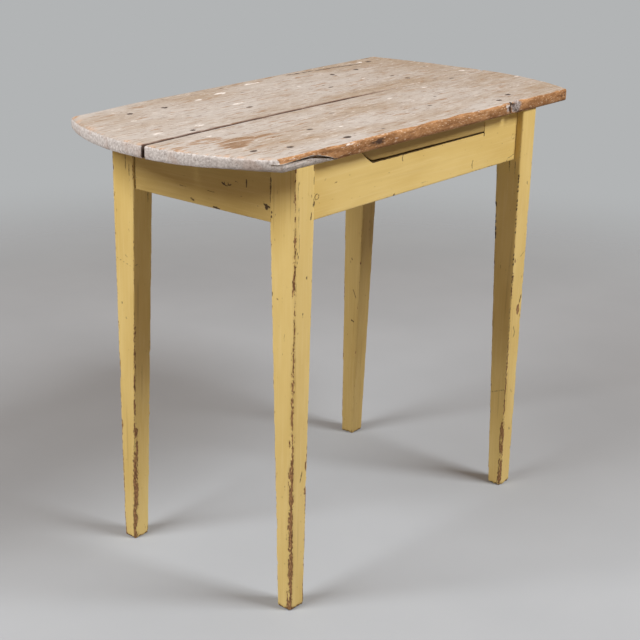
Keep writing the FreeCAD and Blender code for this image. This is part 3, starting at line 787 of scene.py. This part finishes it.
# %% Aprons
APRON_CELL = 1.6 * MM
APRON_REACH, APRON_CHIP_DEPTH = 4 * MM, 0.9 * MM


def board_box(apron):
    """The apron's board without its tenons, from leg to leg."""
    low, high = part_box(apron)
    if high.x - low.x > high.y - low.y:
        low.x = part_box("leg_front_left")[1].x
        high.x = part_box("leg_front_right")[0].x
    else:
        low.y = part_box("leg_front_left")[1].y
        high.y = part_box("leg_rear_left")[0].y
    return low, high


def model_apron(node, axis, seed, finish):
    low, high = board_box(node)
    piece = start_block(f"{node}_board", low, high)
    tree = sharp_edge_tree(piece, high.z)
    piece = join_blocks([piece, start_block("tenon", *tenon_box(node))])
    even_mesh(piece, APRON_CELL)
    wear = 0.15 + 0.35 * (1 - smooth(vertex_places(piece)[:, 2], apron_low, apron_low + 12 * MM))
    chip_arrises(piece, tree, axis, seed, APRON_REACH, APRON_CHIP_DEPTH, wear)
    finish_piece(piece, node, "table", finish)
    return piece


# The end aprons take the darker paint, as painted shade under the top's overhang.
aprons = {
    "front": model_apron("apron_front", 0, 61.2, paint_long),
    "rear": model_apron("apron_rear", 0, 71.8, paint_long),
    "left": model_apron("apron_left", 1, 83.4, paint_short_shaded),
    "right": model_apron("apron_right", 1, 97.6, paint_short_shaded),
}

# %% [markdown]
# In the front apron the drawer's strip has been sawn out from above: the saw came down in a slanting curve
# at the left, ran along, and met a straight cut at the right that went a little too deep. The outline of
# the opening is drawn by extruding a vertex from point to point, and the filled outline is sawn right
# through the board.

# %% Drawer opening
NOTCH_HEIGHT = 24.5 * MM
NOTCH_LEFT_GAP = 121 * MM
NOTCH_RIGHT_GAP = 101 * MM
NOTCH_SLANT = 31 * MM
NOTCH_SAG = 3.0 * MM
SAW_KERF = 1.6 * MM
SAW_OVERCUT = 4.5 * MM
SAW_CLOSED = 0.9 * MM
SAW_MARGIN = 5 * MM
CURVE_STEPS = 7
TICK_INSET, TICK_LONG = 1.2, 5

board_low, board_high = board_box("apron_front")
notch_left = board_low.x + NOTCH_LEFT_GAP
notch_right = board_high.x - NOTCH_RIGHT_GAP
notch_low = board_high.z - NOTCH_HEIGHT


def saw_curve(left, right, top, low, sag):
    """Points of the slanting saw cut from the top edge down to the opening's floor."""
    points = []
    for step in range(CURVE_STEPS + 1):
        share = step / CURVE_STEPS
        bulge = 4 * sag * share * (1 - share)
        points.append((left + (right - left) * share - bulge, top + (low - top) * share))
    return points


def extrude_outline(name, outline, front, back):
    """A flat outline in X and Z, filled and given its thickness from front to back."""
    bpy.ops.object.select_all(action="DESELECT")
    bpy.ops.mesh.primitive_plane_add(size=1)
    piece = bpy.context.object
    piece.name = name
    bpy.ops.object.mode_set(mode="EDIT")
    bpy.ops.mesh.select_mode(type="VERT")
    bpy.ops.mesh.select_all(action="SELECT")
    bpy.ops.mesh.merge(type="CENTER")
    first = Vector((outline[0][0], front, outline[0][1]))
    bpy.ops.transform.translate(value=first)
    for here, there in zip(outline, outline[1:]):
        step = (there[0] - here[0], 0, there[1] - here[1])
        bpy.ops.mesh.extrude_region_move(TRANSFORM_OT_translate={"value": step})
    bpy.ops.mesh.select_all(action="SELECT")
    bpy.ops.mesh.edge_face_add()
    bpy.ops.mesh.extrude_region_move(TRANSFORM_OT_translate={"value": (0, back - front, 0)})
    bpy.ops.mesh.select_all(action="SELECT")
    bpy.ops.mesh.normals_make_consistent(inside=False)
    object_mode()
    return piece


above = board_high.z + SAW_MARGIN
opening = saw_curve(notch_left, notch_left + NOTCH_SLANT, board_high.z, notch_low, NOTCH_SAG)
opening = [(notch_left, above)] + opening + [
    (notch_right - SAW_KERF, notch_low),
    (notch_right - SAW_KERF, notch_low - SAW_OVERCUT),
    (notch_right - SAW_CLOSED, notch_low - SAW_OVERCUT),
    (notch_right - SAW_CLOSED, above),
]
saw = extrude_outline("opening", opening, board_low.y - SAW_MARGIN, board_high.y + SAW_MARGIN)
cut_away(aprons["front"], saw)
# Painted shade: the sawn faces of the opening, a thin line along its edges and the overcut slit are darkened.
corners = [(x / MM, 0, z / MM) for x, z in opening]
sawn = [(here, there, 0.5, 0.75) for here, there in zip(corners, corners[1:-1])]
tick = notch_right / MM - TICK_INSET
sawn.append(((tick, 0, notch_low / MM), (tick, 0, notch_low / MM - TICK_LONG), 1.1, 1.0))
paint_marks(aprons["front"], sawn, 1)
print("front apron opened from", round(notch_left, 4), "to", round(notch_right, 4))

# %% [markdown]
# The aprons have knots that draw rings in the paint, small curved cracks, a splinter at the right end of
# the front one, and a gouge in the left one. Rings and cracks are arcs, made of the same short strokes as
# the legs' scars.

# %% Scars on the aprons
FRONT_BOARD, END_BOARD = -205, -347.5
front_scars = face_strokes(1, FRONT_BOARD, [
    (230, 643, 254, 648, 0.8, 0.65), (229, 637, 230, 641, 1.3, 0.7), (-27, 645, -7, 645, 0.8, 0.5),
    (-99, 637, -97, 640, 1.9, 0.8), (-294, 666, -295, 658, 1.2, 0.7),
])
front_rings = [
    (-288.5, 672, 4.5, 70, 390, 0.9, 0.75), (244.5, 680, 4.5, 20, 330, 0.8, 0.55),
    (-71, 695, 8, 140, 220, 0.9, 0.8), (131, 651, 11, 140, 215, 0.9, 0.75),
]
for along, height, radius, start, end, half, strength in front_rings:
    front_scars += arc_strokes((along, FRONT_BOARD, height), radius, start, end, 0, half, strength)
end_scars = face_strokes(0, END_BOARD, [
    (-118, 693, -118, 683, 1.2, 0.9), (-164, 660, -153, 663, 1.6, 0.75), (-158, 661, -158, 658, 3.0, 0.95),
    (-68, 681, -72, 679, 1.3, 0.9), (-82, 679, -87, 681, 1.2, 0.8), (22, 662, 8, 662, 0.8, 0.55),
    (-35, 664, -52, 663, 0.8, 0.55), (-95, 687, -104, 686, 0.8, 0.55), (-2, 645, -8, 643, 1.7, 0.7),
    (-50, 640, -62, 639, 1.6, 0.8), (122.5, 723, 122.5, 640, 1.3, 0.85),
    (-165.5, 705, -165.5, 668, 1.3, 0.75),
])
end_scars += arc_strokes((END_BOARD, -77, 681), 4, 170, 380, 1, 1.0, 0.85)
paint_marks(aprons["front"], front_scars)
paint_marks(aprons["left"], end_scars)

# %% [markdown]
# The drawer front is the very strip that was sawn out, so its left end follows the same curve, a saw cut
# smaller. It hangs a little askew: its left end stands back in the opening and its right end is almost
# flush, and the gap below it is wider at the left. A thick coat of paint covers the two nails that hold it
# to the drawer's walls.

# %% Drawer front
DRAWER_GAP_LEFT = 2.1 * MM
DRAWER_GAP_RIGHT = 1.1 * MM
DRAWER_CELL = 1.4 * MM
DRAWER_LIP = 8 * MM
DRAWER_SKEW = 3.5 * MM
DRAWER_REACH, DRAWER_CHIP_DEPTH, DRAWER_WEAR = 3 * MM, 0.6 * MM, 0.25
PAINT_COAT = 0.5 * MM

front_low, front_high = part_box("drawer_front")
floor_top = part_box("drawer_bottom")[1].z
strip_left = notch_left + SAW_KERF * 2
strip_low = notch_low + DRAWER_GAP_LEFT
outline = saw_curve(strip_left, strip_left + NOTCH_SLANT, front_high.z, strip_low, NOTCH_SAG)
outline += [(front_high.x, notch_low + DRAWER_GAP_RIGHT), (front_high.x, front_high.z)]
drawer_front = extrude_outline("drawer_front_strip", outline, front_low.y, front_high.y)
for vertex in drawer_front.data.vertices:
    if vertex.co.y < front_low.y + PAINT_COAT:
        askew = (front_high.x - vertex.co.x) / (front_high.x - front_low.x)
        vertex.co.y += DRAWER_SKEW * askew - PAINT_COAT
drawer_tree = sharp_edge_tree(drawer_front)
rebate_low = (front_low.x - SAW_MARGIN, front_high.y - DRAWER_LIP, front_low.z - SAW_MARGIN)
rebate_high = (front_high.x + SAW_MARGIN, front_high.y + SAW_MARGIN, floor_top)
cut_away(drawer_front, start_block("rebate", rebate_low, rebate_high))
even_mesh(drawer_front, DRAWER_CELL)
chip_arrises(drawer_front, drawer_tree, 0, 107.3, DRAWER_REACH, DRAWER_CHIP_DEPTH, DRAWER_WEAR)
# The drawer front takes the darker paint, as painted shade under the top's overhang.
finish_piece(drawer_front, "drawer_front", "drawer", paint_drawer_shaded)

# %% [markdown]
# The top is two planks whose ends were sawn to one shallow bow. Each starts as a block, and a wide round
# disc is intersected with it for each end. The joint between them wanders, so its edge is subdivided and
# set on its curve.

# %% Top boards
END_BOW = 66 * MM
TOP_THICK = 22 * MM
JOINT_LEFT, JOINT_MIDDLE, JOINT_RIGHT = -16 * MM, 3 * MM, 2 * MM
JOINT_GAP_LEFT, JOINT_GAP_RIGHT = 3.4 * MM, 0.6 * MM
JOINT_STEPS = 40
DISC_SIDES, DISC_THICK = 256, 200 * MM

half_top, half_width = cad_box[1][:2]
board_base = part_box("top_board_front")[0].z
bow_radius = (half_width ** 2 + END_BOW ** 2) / (2 * END_BOW)
joint_reach = half_top + END_BOW


def joint_line(places_x, side):
    """Where the joint's edge lies in Y; side is -1 for the front board and 1 for the rear one."""
    share = places_x / joint_reach
    middle = JOINT_MIDDLE * (1 - share ** 2)
    ends = JOINT_LEFT * share * (share - 1) / 2 + JOINT_RIGHT * share * (share + 1) / 2
    gap = JOINT_GAP_LEFT * (1 - share) / 2 + JOINT_GAP_RIGHT * (1 + share) / 2
    return middle + ends + gap / 2 * side


def saw_bowed_end(piece, end):
    """Keeps what lies inside a disc whose rim is the bow; its far half moves away to spare the other end."""
    bpy.ops.object.select_all(action="DESELECT")
    middle = end * (half_top - bow_radius)
    bpy.ops.mesh.primitive_cylinder_add(vertices=DISC_SIDES, radius=bow_radius, depth=DISC_THICK,
                                        location=(middle, 0, board_base))
    disc = bpy.context.object
    bpy.ops.object.transform_apply(location=True)
    select_parts(disc, "VERT", lambda vertex: (vertex.co.x - middle) * end < MM)
    bpy.ops.transform.translate(value=(-end * 2 * half_top, 0, 0))
    object_mode()
    apply_modifier(piece, "BOOLEAN", object=disc, operation="INTERSECT", solver="EXACT")
    bpy.data.objects.remove(disc)


def model_board(name, side):
    edge_y = side * half_width
    piece = start_block(name, (-half_top, min(edge_y, 0), board_base),
                        (half_top, max(edge_y, 0), board_base + TOP_THICK))
    select_parts(piece, "EDGE", lambda edge: abs(edge.verts[0].co.x - edge.verts[1].co.x) > half_top)
    bpy.ops.mesh.subdivide(number_cuts=JOINT_STEPS)
    shape = bmesh.from_edit_mesh(piece.data)
    for vertex in shape.verts:
        if abs(vertex.co.y) < half_width / 2:
            vertex.co.y = joint_line(vertex.co.x, side)
    bmesh.update_edit_mesh(piece.data)
    object_mode()
    for end in (-1, 1):
        saw_bowed_end(piece, end)
    return piece


def round_corner(piece, side, end, radius):
    """Rounds one outer corner by a bevel of its upright edge; end is -1 at the left and 1 at the right."""
    edge_y = side * half_width

    def upright_corner(edge):
        a, b = (vertex.co for vertex in edge.verts)
        at_edge = abs(a.y - edge_y) < 0.1 * MM and abs(b.y - edge_y) < 0.1 * MM and a.x * end > 0
        return at_edge and abs(a.z - b.z) > TOP_THICK / 2 and edge.calc_face_angle(0) > SHARP_ANGLE

    select_parts(piece, "EDGE", upright_corner)
    bpy.ops.mesh.bevel(offset=radius, segments=5)
    object_mode()


print("top", round(2 * half_top, 3), "by", round(2 * half_width, 3), "bow radius", round(bow_radius, 3))

# %% [markdown]
# Hands and cloths round the boards' edges, splinters break off the long edges, and the ends crumble. The
# nails have drawn their heads a little below the surface, and rust darkens the wood around them.

# %% Wear and nails of the top
BOARD_CELL = 2.5 * MM
SMOOTHING = 8
EDGE_REACH = 8 * MM
LUMP = 16 * MM
CHUNK_LONG, CHUNK_WIDE = 45 * MM, 8 * MM
SWELL_LONG, SWELL_WIDE, SWELL_DEPTH = 200 * MM, 30 * MM, 0.25 * MM
SPLINTER_DEPTH, END_DEPTH = 1.4 * MM, 0.2 * MM
DENT_DEPTH = 1.0 * MM
NAIL_HEAD = 12 * MM
RUST_SPREAD = 45 * MM
TOP_LEVEL = 747
SPOT_DEEP = 8


def end_distance(places):
    """How far a point lies inside the bowed ends."""
    return bow_radius - np.hypot(np.abs(places[:, 0]) - half_top + bow_radius, places[:, 1])


def weather_board(piece, tree, side, seed):
    """Wears a board's edges; stores amber wood, end grain, the joint's dirt and painted shade in the joint.
    """
    places = vertex_places(piece)
    normals = vertex_normals(piece)
    near = np.clip(1 - edge_distance(places, tree) / EDGE_REACH, 0, 1)
    at_end = end_distance(places)
    flat = smooth(np.abs(normals[:, 2]), 0.55, 0.85)
    end_face = (1 - smooth(at_end, 1 * MM, 3.5 * MM)) * (1 - flat)
    from_joint = np.abs(places[:, 1] - joint_line(places[:, 0], side))
    joint_side = 1 - smooth(from_joint, 3 * MM, 8 * MM)
    lump = grain_noise(places, 0, LUMP, LUMP, seed)
    chunk = grain_noise(places, 0, CHUNK_LONG, CHUNK_WIDE, seed + 5)
    swell = grain_noise(places, 0, SWELL_LONG, SWELL_WIDE, seed + 9)
    splinter = smooth(near + 0.9 * chunk, 0.85, 1.15) * (1 - joint_side) * smooth(at_end, 8 * MM, 20 * MM)
    loss = near ** 2 * (1.2 - 0.8 * joint_side) * MM + splinter * SPLINTER_DEPTH
    loss += end_face * (lump + 1) * END_DEPTH + (swell + 1) * SWELL_DEPTH
    move_vertices(piece, places - normals * loss[:, None])
    reach = (4.5 + 3.5 * chunk) * MM
    long_edge = 1 - smooth(np.abs(places[:, 1] - side * half_width) - reach, -2 * MM, 1 * MM)
    store(piece, "worn", np.maximum(long_edge, near * 0.25 * (1 - joint_side)) * (1 - end_face))
    store(piece, "rubbed", (1 - smooth(at_end + 4 * MM * lump, 3 * MM, 16 * MM)) * 0.45 * (1 - end_face))
    store(piece, "end", end_face)
    fading = 1 - 0.75 * smooth(places[:, 0], 50 * MM, 220 * MM)
    dirt_reach = (1.4 + 0.8 * side) * MM * fading
    dirt = 1 - smooth(from_joint, dirt_reach, dirt_reach + 2 * MM)
    store(piece, "seam", dirt * 0.9 * fading * smooth(normals[:, 2], 0.15, 0.45))
    # Painted shade: the joint's inner faces become nearly black marks, less where the gap closes.
    store(piece, "mark", joint_side * smooth(-side * normals[:, 1], 0.6, 0.9) * fading ** 2)


def nail_places(node):
    """Where a node's nails stand, found by gathering its vertices around each of them."""
    found = []
    for vertex in node.data.vertices:
        beside = [nail for nail in found if (nail[0] - vertex.co.xy).length < NAIL_HEAD]
        if beside:
            beside[0].append(vertex.co.xy)
        else:
            found.append([vertex.co.xy])
    return [sum(nail, Vector((0, 0))) / len(nail) for nail in found]


def press_nails(piece):
    """Presses a shallow dent into the top face at each nail."""
    places = vertex_places(piece)
    top_face = smooth(vertex_normals(piece)[:, 2], 0.3, 0.7)
    for nail in nails:
        away = np.hypot(places[:, 0] - nail.x, places[:, 1] - nail.y)
        places[:, 2] -= DENT_DEPTH * top_face * (1 - smooth(away, 3 * MM, 5.5 * MM))
    move_vertices(piece, places)


def wear_board(piece, side, seed):
    """An even mesh, softened, weathered and dented by the nails."""
    tree = sharp_edge_tree(piece)
    even_mesh(piece, BOARD_CELL)
    apply_modifier(piece, "SMOOTH", factor=0.5, iterations=SMOOTHING)
    weather_board(piece, tree, side, seed)
    press_nails(piece)


def on_top(rows):
    """Spots on the top face from their place, half length, half width and strength."""
    return [((x, y, TOP_LEVEL), (long, wide, SPOT_DEEP), strength) for x, y, long, wide, strength in rows]


nails = nail_places(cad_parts["top_nails"])
nail_spots = []
for nail in nails:
    rust = noise.noise(Vector((nail.x, nail.y, 0)) / RUST_SPREAD)
    nail_spots += on_top([(nail.x / MM, nail.y / MM, 8 + 2 * rust, 6, 0.85 + 0.5 * rust)])
print("top nails", [(round(nail.x, 3), round(nail.y, 3)) for nail in nails])

# %% [markdown]
# The front board has a dead knot in its near edge, partly lost. The knot's hole is a cylinder that is cut
# out before the fine mesh is made, so the wear rounds its rim as well.

# %% Front board
KNOT_X = 210 * MM
KNOT_RADIUS = 5 * MM

front_board = model_board("top_board_front_plank", -1)
round_corner(front_board, -1, -1, 10 * MM)
round_corner(front_board, -1, 1, 7 * MM)
bpy.ops.object.select_all(action="DESELECT")
bpy.ops.mesh.primitive_cylinder_add(vertices=14, radius=KNOT_RADIUS, depth=3 * TOP_THICK,
                                    location=(KNOT_X, -half_width, board_base))
cut_away(front_board, bpy.context.object)
wear_board(front_board, -1, 131.9)
print("front board", len(front_board.data.polygons), "faces")

# %% [markdown]
# Around the knot the wood crumbles. The board's left corner has split along the grain: a worn upper layer
# has torn back, a grey lower layer stands out below it, and the underside has lifted towards the corner.

# %% Dead knot and split layers
SPLIT_LEFT, SPLIT_RIGHT = -398 * MM, -264 * MM
SPLIT_TOP, SPLIT_BASE = 738.5 * MM, 726 * MM
CORNER_LIFT = 4.5 * MM
TORN_MOST = 5


def split_share(places_x):
    return np.clip((places_x - SPLIT_LEFT) / (SPLIT_RIGHT - SPLIT_LEFT), 0, 1)


def split_height(places_x):
    """The split runs level from the left, and then dives to the lower edge."""
    return SPLIT_TOP + (SPLIT_BASE - SPLIT_TOP) * split_share(places_x) ** 3.5


front_places = vertex_places(front_board)
ragged = grain_noise(front_places, 0, 30 * MM, 7 * MM, 167.1)
crumbs = grain_noise(front_places, 0, 9 * MM, 6 * MM, 173.7)
from_edge = front_places[:, 1] + half_width
knot = spot_values(front_places, [((225, -219, 738), (16, 10, 15), 1.1), ((199, -221, 737), (10, 6, 9), 0.9)])
knot = smooth(knot + 0.5 * crumbs, 0.4, 0.9)
at_split = smooth(front_places[:, 0], SPLIT_LEFT - 5 * MM, SPLIT_LEFT + 10 * MM)
at_split *= 1 - smooth(front_places[:, 0], SPLIT_RIGHT - 12 * MM, SPLIT_RIGHT + 6 * MM)
upper = smooth(front_places[:, 2] - split_height(front_places[:, 0]), -0.8 * MM, 0.8 * MM)
near_edge = 1 - smooth(from_edge, 3 * MM, 12 * MM)
torn = at_split * upper * (2.2 + 1.6 * ragged) + knot * (1.8 + 2.2 * crumbs)
front_places[:, 1] += np.clip(torn, 0, TORN_MOST) * MM * near_edge
front_rim = 1 - smooth(from_edge, 1 * MM, 7 * MM) * smooth(end_distance(front_places), 2 * MM, 18 * MM)
split_corner = smooth(-front_places[:, 1], 60 * MM, 205 * MM)
split_corner *= 1 - smooth(front_places[:, 0], -330 * MM, -255 * MM)
under = 1 - (front_places[:, 2] - board_base) / TOP_THICK
front_places[:, 2] += CORNER_LIFT * split_corner * front_rim * under * (1 + 0.35 * crumbs)
move_vertices(front_board, front_places)
layer = at_split * (1 - upper) * (1 - smooth(from_edge, 4 * MM, 8 * MM))
store_more(front_board, "end", layer * smooth(ragged, -0.75, -0.35))
store(front_board, "knot", knot * near_edge)
print("knot at", int((knot * near_edge > 0.5).sum()), "vertices")

# %% [markdown]
# Small knots, nail holes and bruises are dark spots, drips of white paint are pale flecks, and something
# that was spilt at the left has left brown streaks. All of them are spots that the pine's shader breaks up
# along the grain.

# %% Spots of the front board
front_spots = nail_spots + on_top([
    (-374, -157, 10, 6, 0.85), (-202, -117, 10, 5, 0.75), (86, -137, 9, 4, 0.75), (28, -126, 7, 3, 0.55),
    (333, -10, 10, 4, 0.75), (-80, -60, 9, 4, 0.6), (160, -95, 8, 3, 0.55), (-120, -195, 8, 4, 0.6),
])
front_spots += [
    ((-168, -222, 738), (30, 8, 8), 0.55), ((-164, -222, 738), (13, 7, 6), 0.75),
    ((372, -222, 737), (2.5, 5, 6), 0.75), ((381, -222, 738), (2.5, 5, 6), 0.75),
    ((KNOT_X / MM, -219, 735), (5, 8, 20), 1.4), ((KNOT_X / MM + 14, -221, 731), (5, 6, 4), 0.75),
]
front_flecks = on_top([
    (-300, -118, 34, 12, 0.5), (91, -50, 8, 4, 0.9), (-152, -137, 9, 4, 0.9), (438, -85, 10, 5, 0.9),
    (109, -135, 7, 3, 0.75), (-345, -40, 8, 4, 0.8), (-250, -170, 14, 5, 0.6), (220, -30, 10, 4, 0.7),
])
front_flecks += [
    ((-216, -222, 738), (3, 6, 6), 0.7), ((109, -222, 744), (7, 5, 2.5), 0.7),
    ((-205, -219, 746), (18, 4, 2.5), 0.5), ((-140, -220, 745), (80, 4, 3), 0.3),
    ((-365, -219, 744), (24, 6, 5), 0.35), ((-345, -223, 733), (55, 8, 7), 0.75),
    ((196, -221, 741), (9, 5, 6), 0.8), ((-232, -221, 744), (22, 5, 3.5), 0.6),
]
stain_streaks = on_top([
    (-337, -87, 50, 9, 1.3), (-290, -96, 46, 8, 1.2), (-352, -102, 40, 9, 1.3), (-362, -114, 34, 8, 1.5),
    (-366, -124, 22, 6, 1.3), (-284, -114, 20, 5, 1.0), (-400, -62, 70, 26, 0.5), (-330, -150, 60, 14, 0.45),
])
store_more(front_board, "mark", spot_values(front_places, front_spots))
store(front_board, "fleck", spot_values(front_places, front_flecks))
store(front_board, "stain", spot_values(front_places, stain_streaks))
print("front board", len(front_spots), "dark spots", len(front_flecks), "white flecks")

# %% [markdown]
# The open split is thinner than the mesh's cells, so it can't come from moving vertices. A wedge is sawn
# out of the finished mesh instead: a block, cut into short lengths that follow the split and gape mostly
# upwards.

# %% Split corner
SPLIT_STEPS = 24
GAPE_UP, GAPE_DOWN = 2.2, -0.6
WAVER, WAVER_LONG = 0.7 * MM, 14 * MM

wedge = start_block("split", (SPLIT_LEFT - 12 * MM, -half_width - 20 * MM, SPLIT_BASE),
                    (SPLIT_RIGHT + 4 * MM, -half_width + 11 * MM, SPLIT_TOP))
select_parts(wedge, "EDGE", lambda edge: abs(edge.verts[0].co.x - edge.verts[1].co.x) > 50 * MM)
bpy.ops.mesh.subdivide(number_cuts=SPLIT_STEPS)
object_mode()
middle_height = (SPLIT_TOP + SPLIT_BASE) / 2
for vertex in wedge.data.vertices:
    share = float(split_share(vertex.co.x))
    open_by = (0.35 + 1.5 * math.sin(math.pi * share ** 1.6) ** 1.5) * MM
    waver = WAVER * noise.noise(Vector((vertex.co.x / WAVER_LONG, 0, 181.3)))
    gape = GAPE_UP if vertex.co.z > middle_height else GAPE_DOWN
    vertex.co.z = float(split_height(vertex.co.x)) + waver + gape * open_by
cut_away(front_board, wedge)
finish_piece(front_board, "top_board_front", "table", scrubbed_pine)

# %% [markdown]
# The rear board has cupped: it curls up from the joint to its far edge, most of all at the right, and its
# left corner is worn down. A lattice could bend it, but the rise is a simple formula, so the vertices are
# lifted by it directly. Its spots are stored first, while the board is still flat.

# %% Rear board
CUP_LEFT, CUP_RIGHT = 2 * MM, 10 * MM
CORNER_DROP = 4 * MM

rear_board = model_board("top_board_rear_plank", 1)
round_corner(rear_board, 1, -1, 25 * MM)
round_corner(rear_board, 1, 1, 25 * MM)
wear_board(rear_board, 1, 149.3)
rear_places = vertex_places(rear_board)
long_crack = on_top([(x, 206 - 0.08 * (x - 128), 16, 3, 0.75) for x in range(125, 320, 18)])
rear_spots = nail_spots + long_crack + on_top([
    (-136, 69, 11, 5, 0.8), (-59, 205, 10, 4, 0.6), (-57, 157, 9, 4, 0.6), (272, 82, 9, 4, 0.75),
    (258, 24, 7, 3, 0.6), (343, 194, 12, 5, 0.8), (99, 88, 9, 4, 0.8), (99, 106, 7, 3, 0.6),
    (-260, 90, 8, 4, 0.55), (20, 40, 9, 3, 0.55), (190, 150, 8, 3, 0.6), (400, 100, 8, 4, 0.6),
])
rear_flecks = on_top([
    (-158, 165, 10, 5, 1.0), (-94, 176, 16, 6, 1.0), (-126, 102, 22, 7, 0.8), (9, 198, 24, 6, 0.8),
    (-387, 27, 15, 14, 0.65), (-298, 26, 13, 7, 0.7), (419, 26, 10, 6, 0.9), (319, 201, 16, 6, 0.7),
    (60, 130, 8, 4, 0.7), (210, 100, 10, 4, 0.7), (-350, 120, 10, 5, 0.6),
])
store_more(rear_board, "mark", spot_values(rear_places, rear_spots))
store(rear_board, "fleck", spot_values(rear_places, rear_flecks))
print("rear board", len(rear_spots), "dark spots", len(rear_flecks), "white flecks")
inside = np.minimum(half_width - rear_places[:, 1], end_distance(rear_places))
from_corner = np.hypot(rear_places[:, 0] + half_top - END_BOW, rear_places[:, 1] - half_width)
worn_corner = (1 - smooth(from_corner, 10 * MM, 150 * MM)) * (1 - smooth(inside, 0, 16 * MM))
rear_places[:, 2] -= CORNER_DROP * worn_corner * (rear_places[:, 2] - board_base) / TOP_THICK
cup_start = JOINT_MIDDLE + JOINT_GAP_LEFT
to_far_edge = np.clip((rear_places[:, 1] - cup_start) / (half_width - cup_start), 0, 1)
rise = CUP_LEFT + (CUP_RIGHT - CUP_LEFT) * (rear_places[:, 0] + joint_reach) / (2 * joint_reach)
rear_places[:, 2] += rise * to_far_edge ** 2
move_vertices(rear_board, rear_places)
finish_piece(rear_board, "top_board_rear", "table", scrubbed_pine)

# %% [markdown]
# Nails, pegs, the drawer's inside and its runners and guides are plain and nearly hidden, so their packed
# solids stay and only get their real finish. The pegs were painted over with the legs.

# %% Materials for the solids that stay
finishes = {
    "top_nails": nail_iron, "drawer_nails": nail_iron, "joint_pegs": paint_upright,
    "drawer_back": pine_across, "drawer_bottom": pine_deep,
}
for hand in ("left", "right"):
    for part in ("side", "runner", "guide"):
        finishes[f"drawer_{part}_{hand}"] = pine_deep
for name, finish in finishes.items():
    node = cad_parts[name]
    for index in range(len(node.material_slots)):
        node.material_slots[index].material = finish
    print(name, finish.name)

# %% [markdown]
# The studio has a plain pale floor that fades into a grey backdrop. A strong soft box stands high at the
# left and one high in front, so that the overhanging top shades the end apron and the drawer, and a faint
# one hangs overhead. The backdrop is what the camera and mirroring surfaces see. On everything else the
# world sheds a dim warm brown, as light that has come back from old wood.

# %% Floor and lights
HAZE = 1000 / 3 * MM
FADE_START, FADE_END = 1.2, 2.6
BACKDROP_GREY = "#b2b4b5"
FILL_BROWN = "#76501a"

bpy.ops.object.select_all(action="DESELECT")
bpy.ops.mesh.primitive_plane_add(size=40)
floor = bpy.context.object
floor.name = "studio_floor"
floor_finish, floor_tree, floor_shader, floor_place = new_material("studio_floor")
haze = pattern(floor_tree, floor_place, 0, 1, HAZE, 4)
floor_base = glaze(floor_tree, colour("#9a9fa4"), haze, 0, 1, 1, colour("#a6abb0"))
floor_tree.links.new(floor_base, floor_shader.inputs["Base Color"])
floor_shader.inputs["Roughness"].default_value = 0.8
away = add(floor_tree, "VectorMath", {0: floor_place}, operation="LENGTH").outputs["Value"]
fade = add(floor_tree, "MapRange", {0: away, 1: FADE_START, 2: FADE_END, 3: 1, 4: 0},
           interpolation_type="SMOOTHSTEP").outputs[0]
floor_tree.links.new(fade, floor_shader.inputs["Alpha"])
floor.data.materials.append(floor_finish)


def soft_light(name, place, aim, width, power):
    bpy.ops.object.light_add(type="AREA", location=place)
    lamp = bpy.context.object
    lamp.name = name
    lamp.data.shape = "SQUARE"
    lamp.data.size = width
    lamp.data.energy = power
    lamp.rotation_mode = "QUATERNION"
    lamp.rotation_quaternion = (Vector(aim) - Vector(place)).to_track_quat("-Z", "Y")


soft_light("overhead_box", (0.2, 0.2, 3.4), (0, 0, 0.5), 2.0, 5)
soft_light("left_box", (-2.65, 0.75, 2.85), (0, 0, 0.4), 1.6, 119)
soft_light("front_box", (0.75, -2.25, 3.3), (0, 0, 0.4), 1.2, 137)
world = bpy.context.scene.world or bpy.data.worlds.new("studio")
bpy.context.scene.world = world
world.use_nodes = True
sky = world.node_tree
rays = add(sky, "LightPath").outputs
seen = rays["Is Camera Ray"]
for kind in ("Is Glossy Ray", "Is Transmission Ray"):
    seen = add(sky, "Math", {0: seen, 1: rays[kind]}, operation="MAXIMUM").outputs[0]
sky_colour = glaze(sky, colour(FILL_BROWN), seen, 0, 1, 1, colour(BACKDROP_GREY))
sky.links.new(sky_colour, sky.nodes["Background"].inputs["Color"])

# %% [markdown]
# The camera stands where the photograph was taken, worked out from the legs, aprons and the top's outline.
# Its picture is 640 pixels wide, so the focal length and the small shift are given in those pixels.

# %% Camera
IMAGE_WIDTH = 640
FOCAL_PIXELS = 1387.8
PRINCIPAL_POINT = (286.9, 356.3)
CAMERA_PLACE = Vector((-1.8247, -1.4756, 1.1861))
YAW, PITCH, ROLL = (math.radians(angle) for angle in (49.21, 21.03, 0.66))

forward = Vector((math.cos(PITCH) * math.sin(YAW), math.cos(PITCH) * math.cos(YAW), -math.sin(PITCH)))
level = Vector((math.cos(YAW), -math.sin(YAW), 0))
upright = level.cross(forward)
across_view = level * math.cos(ROLL) + upright * math.sin(ROLL)
up_view = upright * math.cos(ROLL) - level * math.sin(ROLL)
turn = Matrix((across_view, up_view, -forward)).transposed()
bpy.ops.object.camera_add()
camera = bpy.context.object
camera.matrix_world = Matrix.Translation(CAMERA_PLACE) @ turn.to_4x4()
camera.data.sensor_width = 36
camera.data.lens = FOCAL_PIXELS / IMAGE_WIDTH * camera.data.sensor_width
camera.data.shift_x = 0.5 - PRINCIPAL_POINT[0] / IMAGE_WIDTH
camera.data.shift_y = PRINCIPAL_POINT[1] / IMAGE_WIDTH - 0.5
bpy.context.scene.camera = camera
bpy.context.scene.view_settings.view_transform = "Standard"
print("camera lens", round(camera.data.lens, 2), "shift", round(camera.data.shift_x, 3))
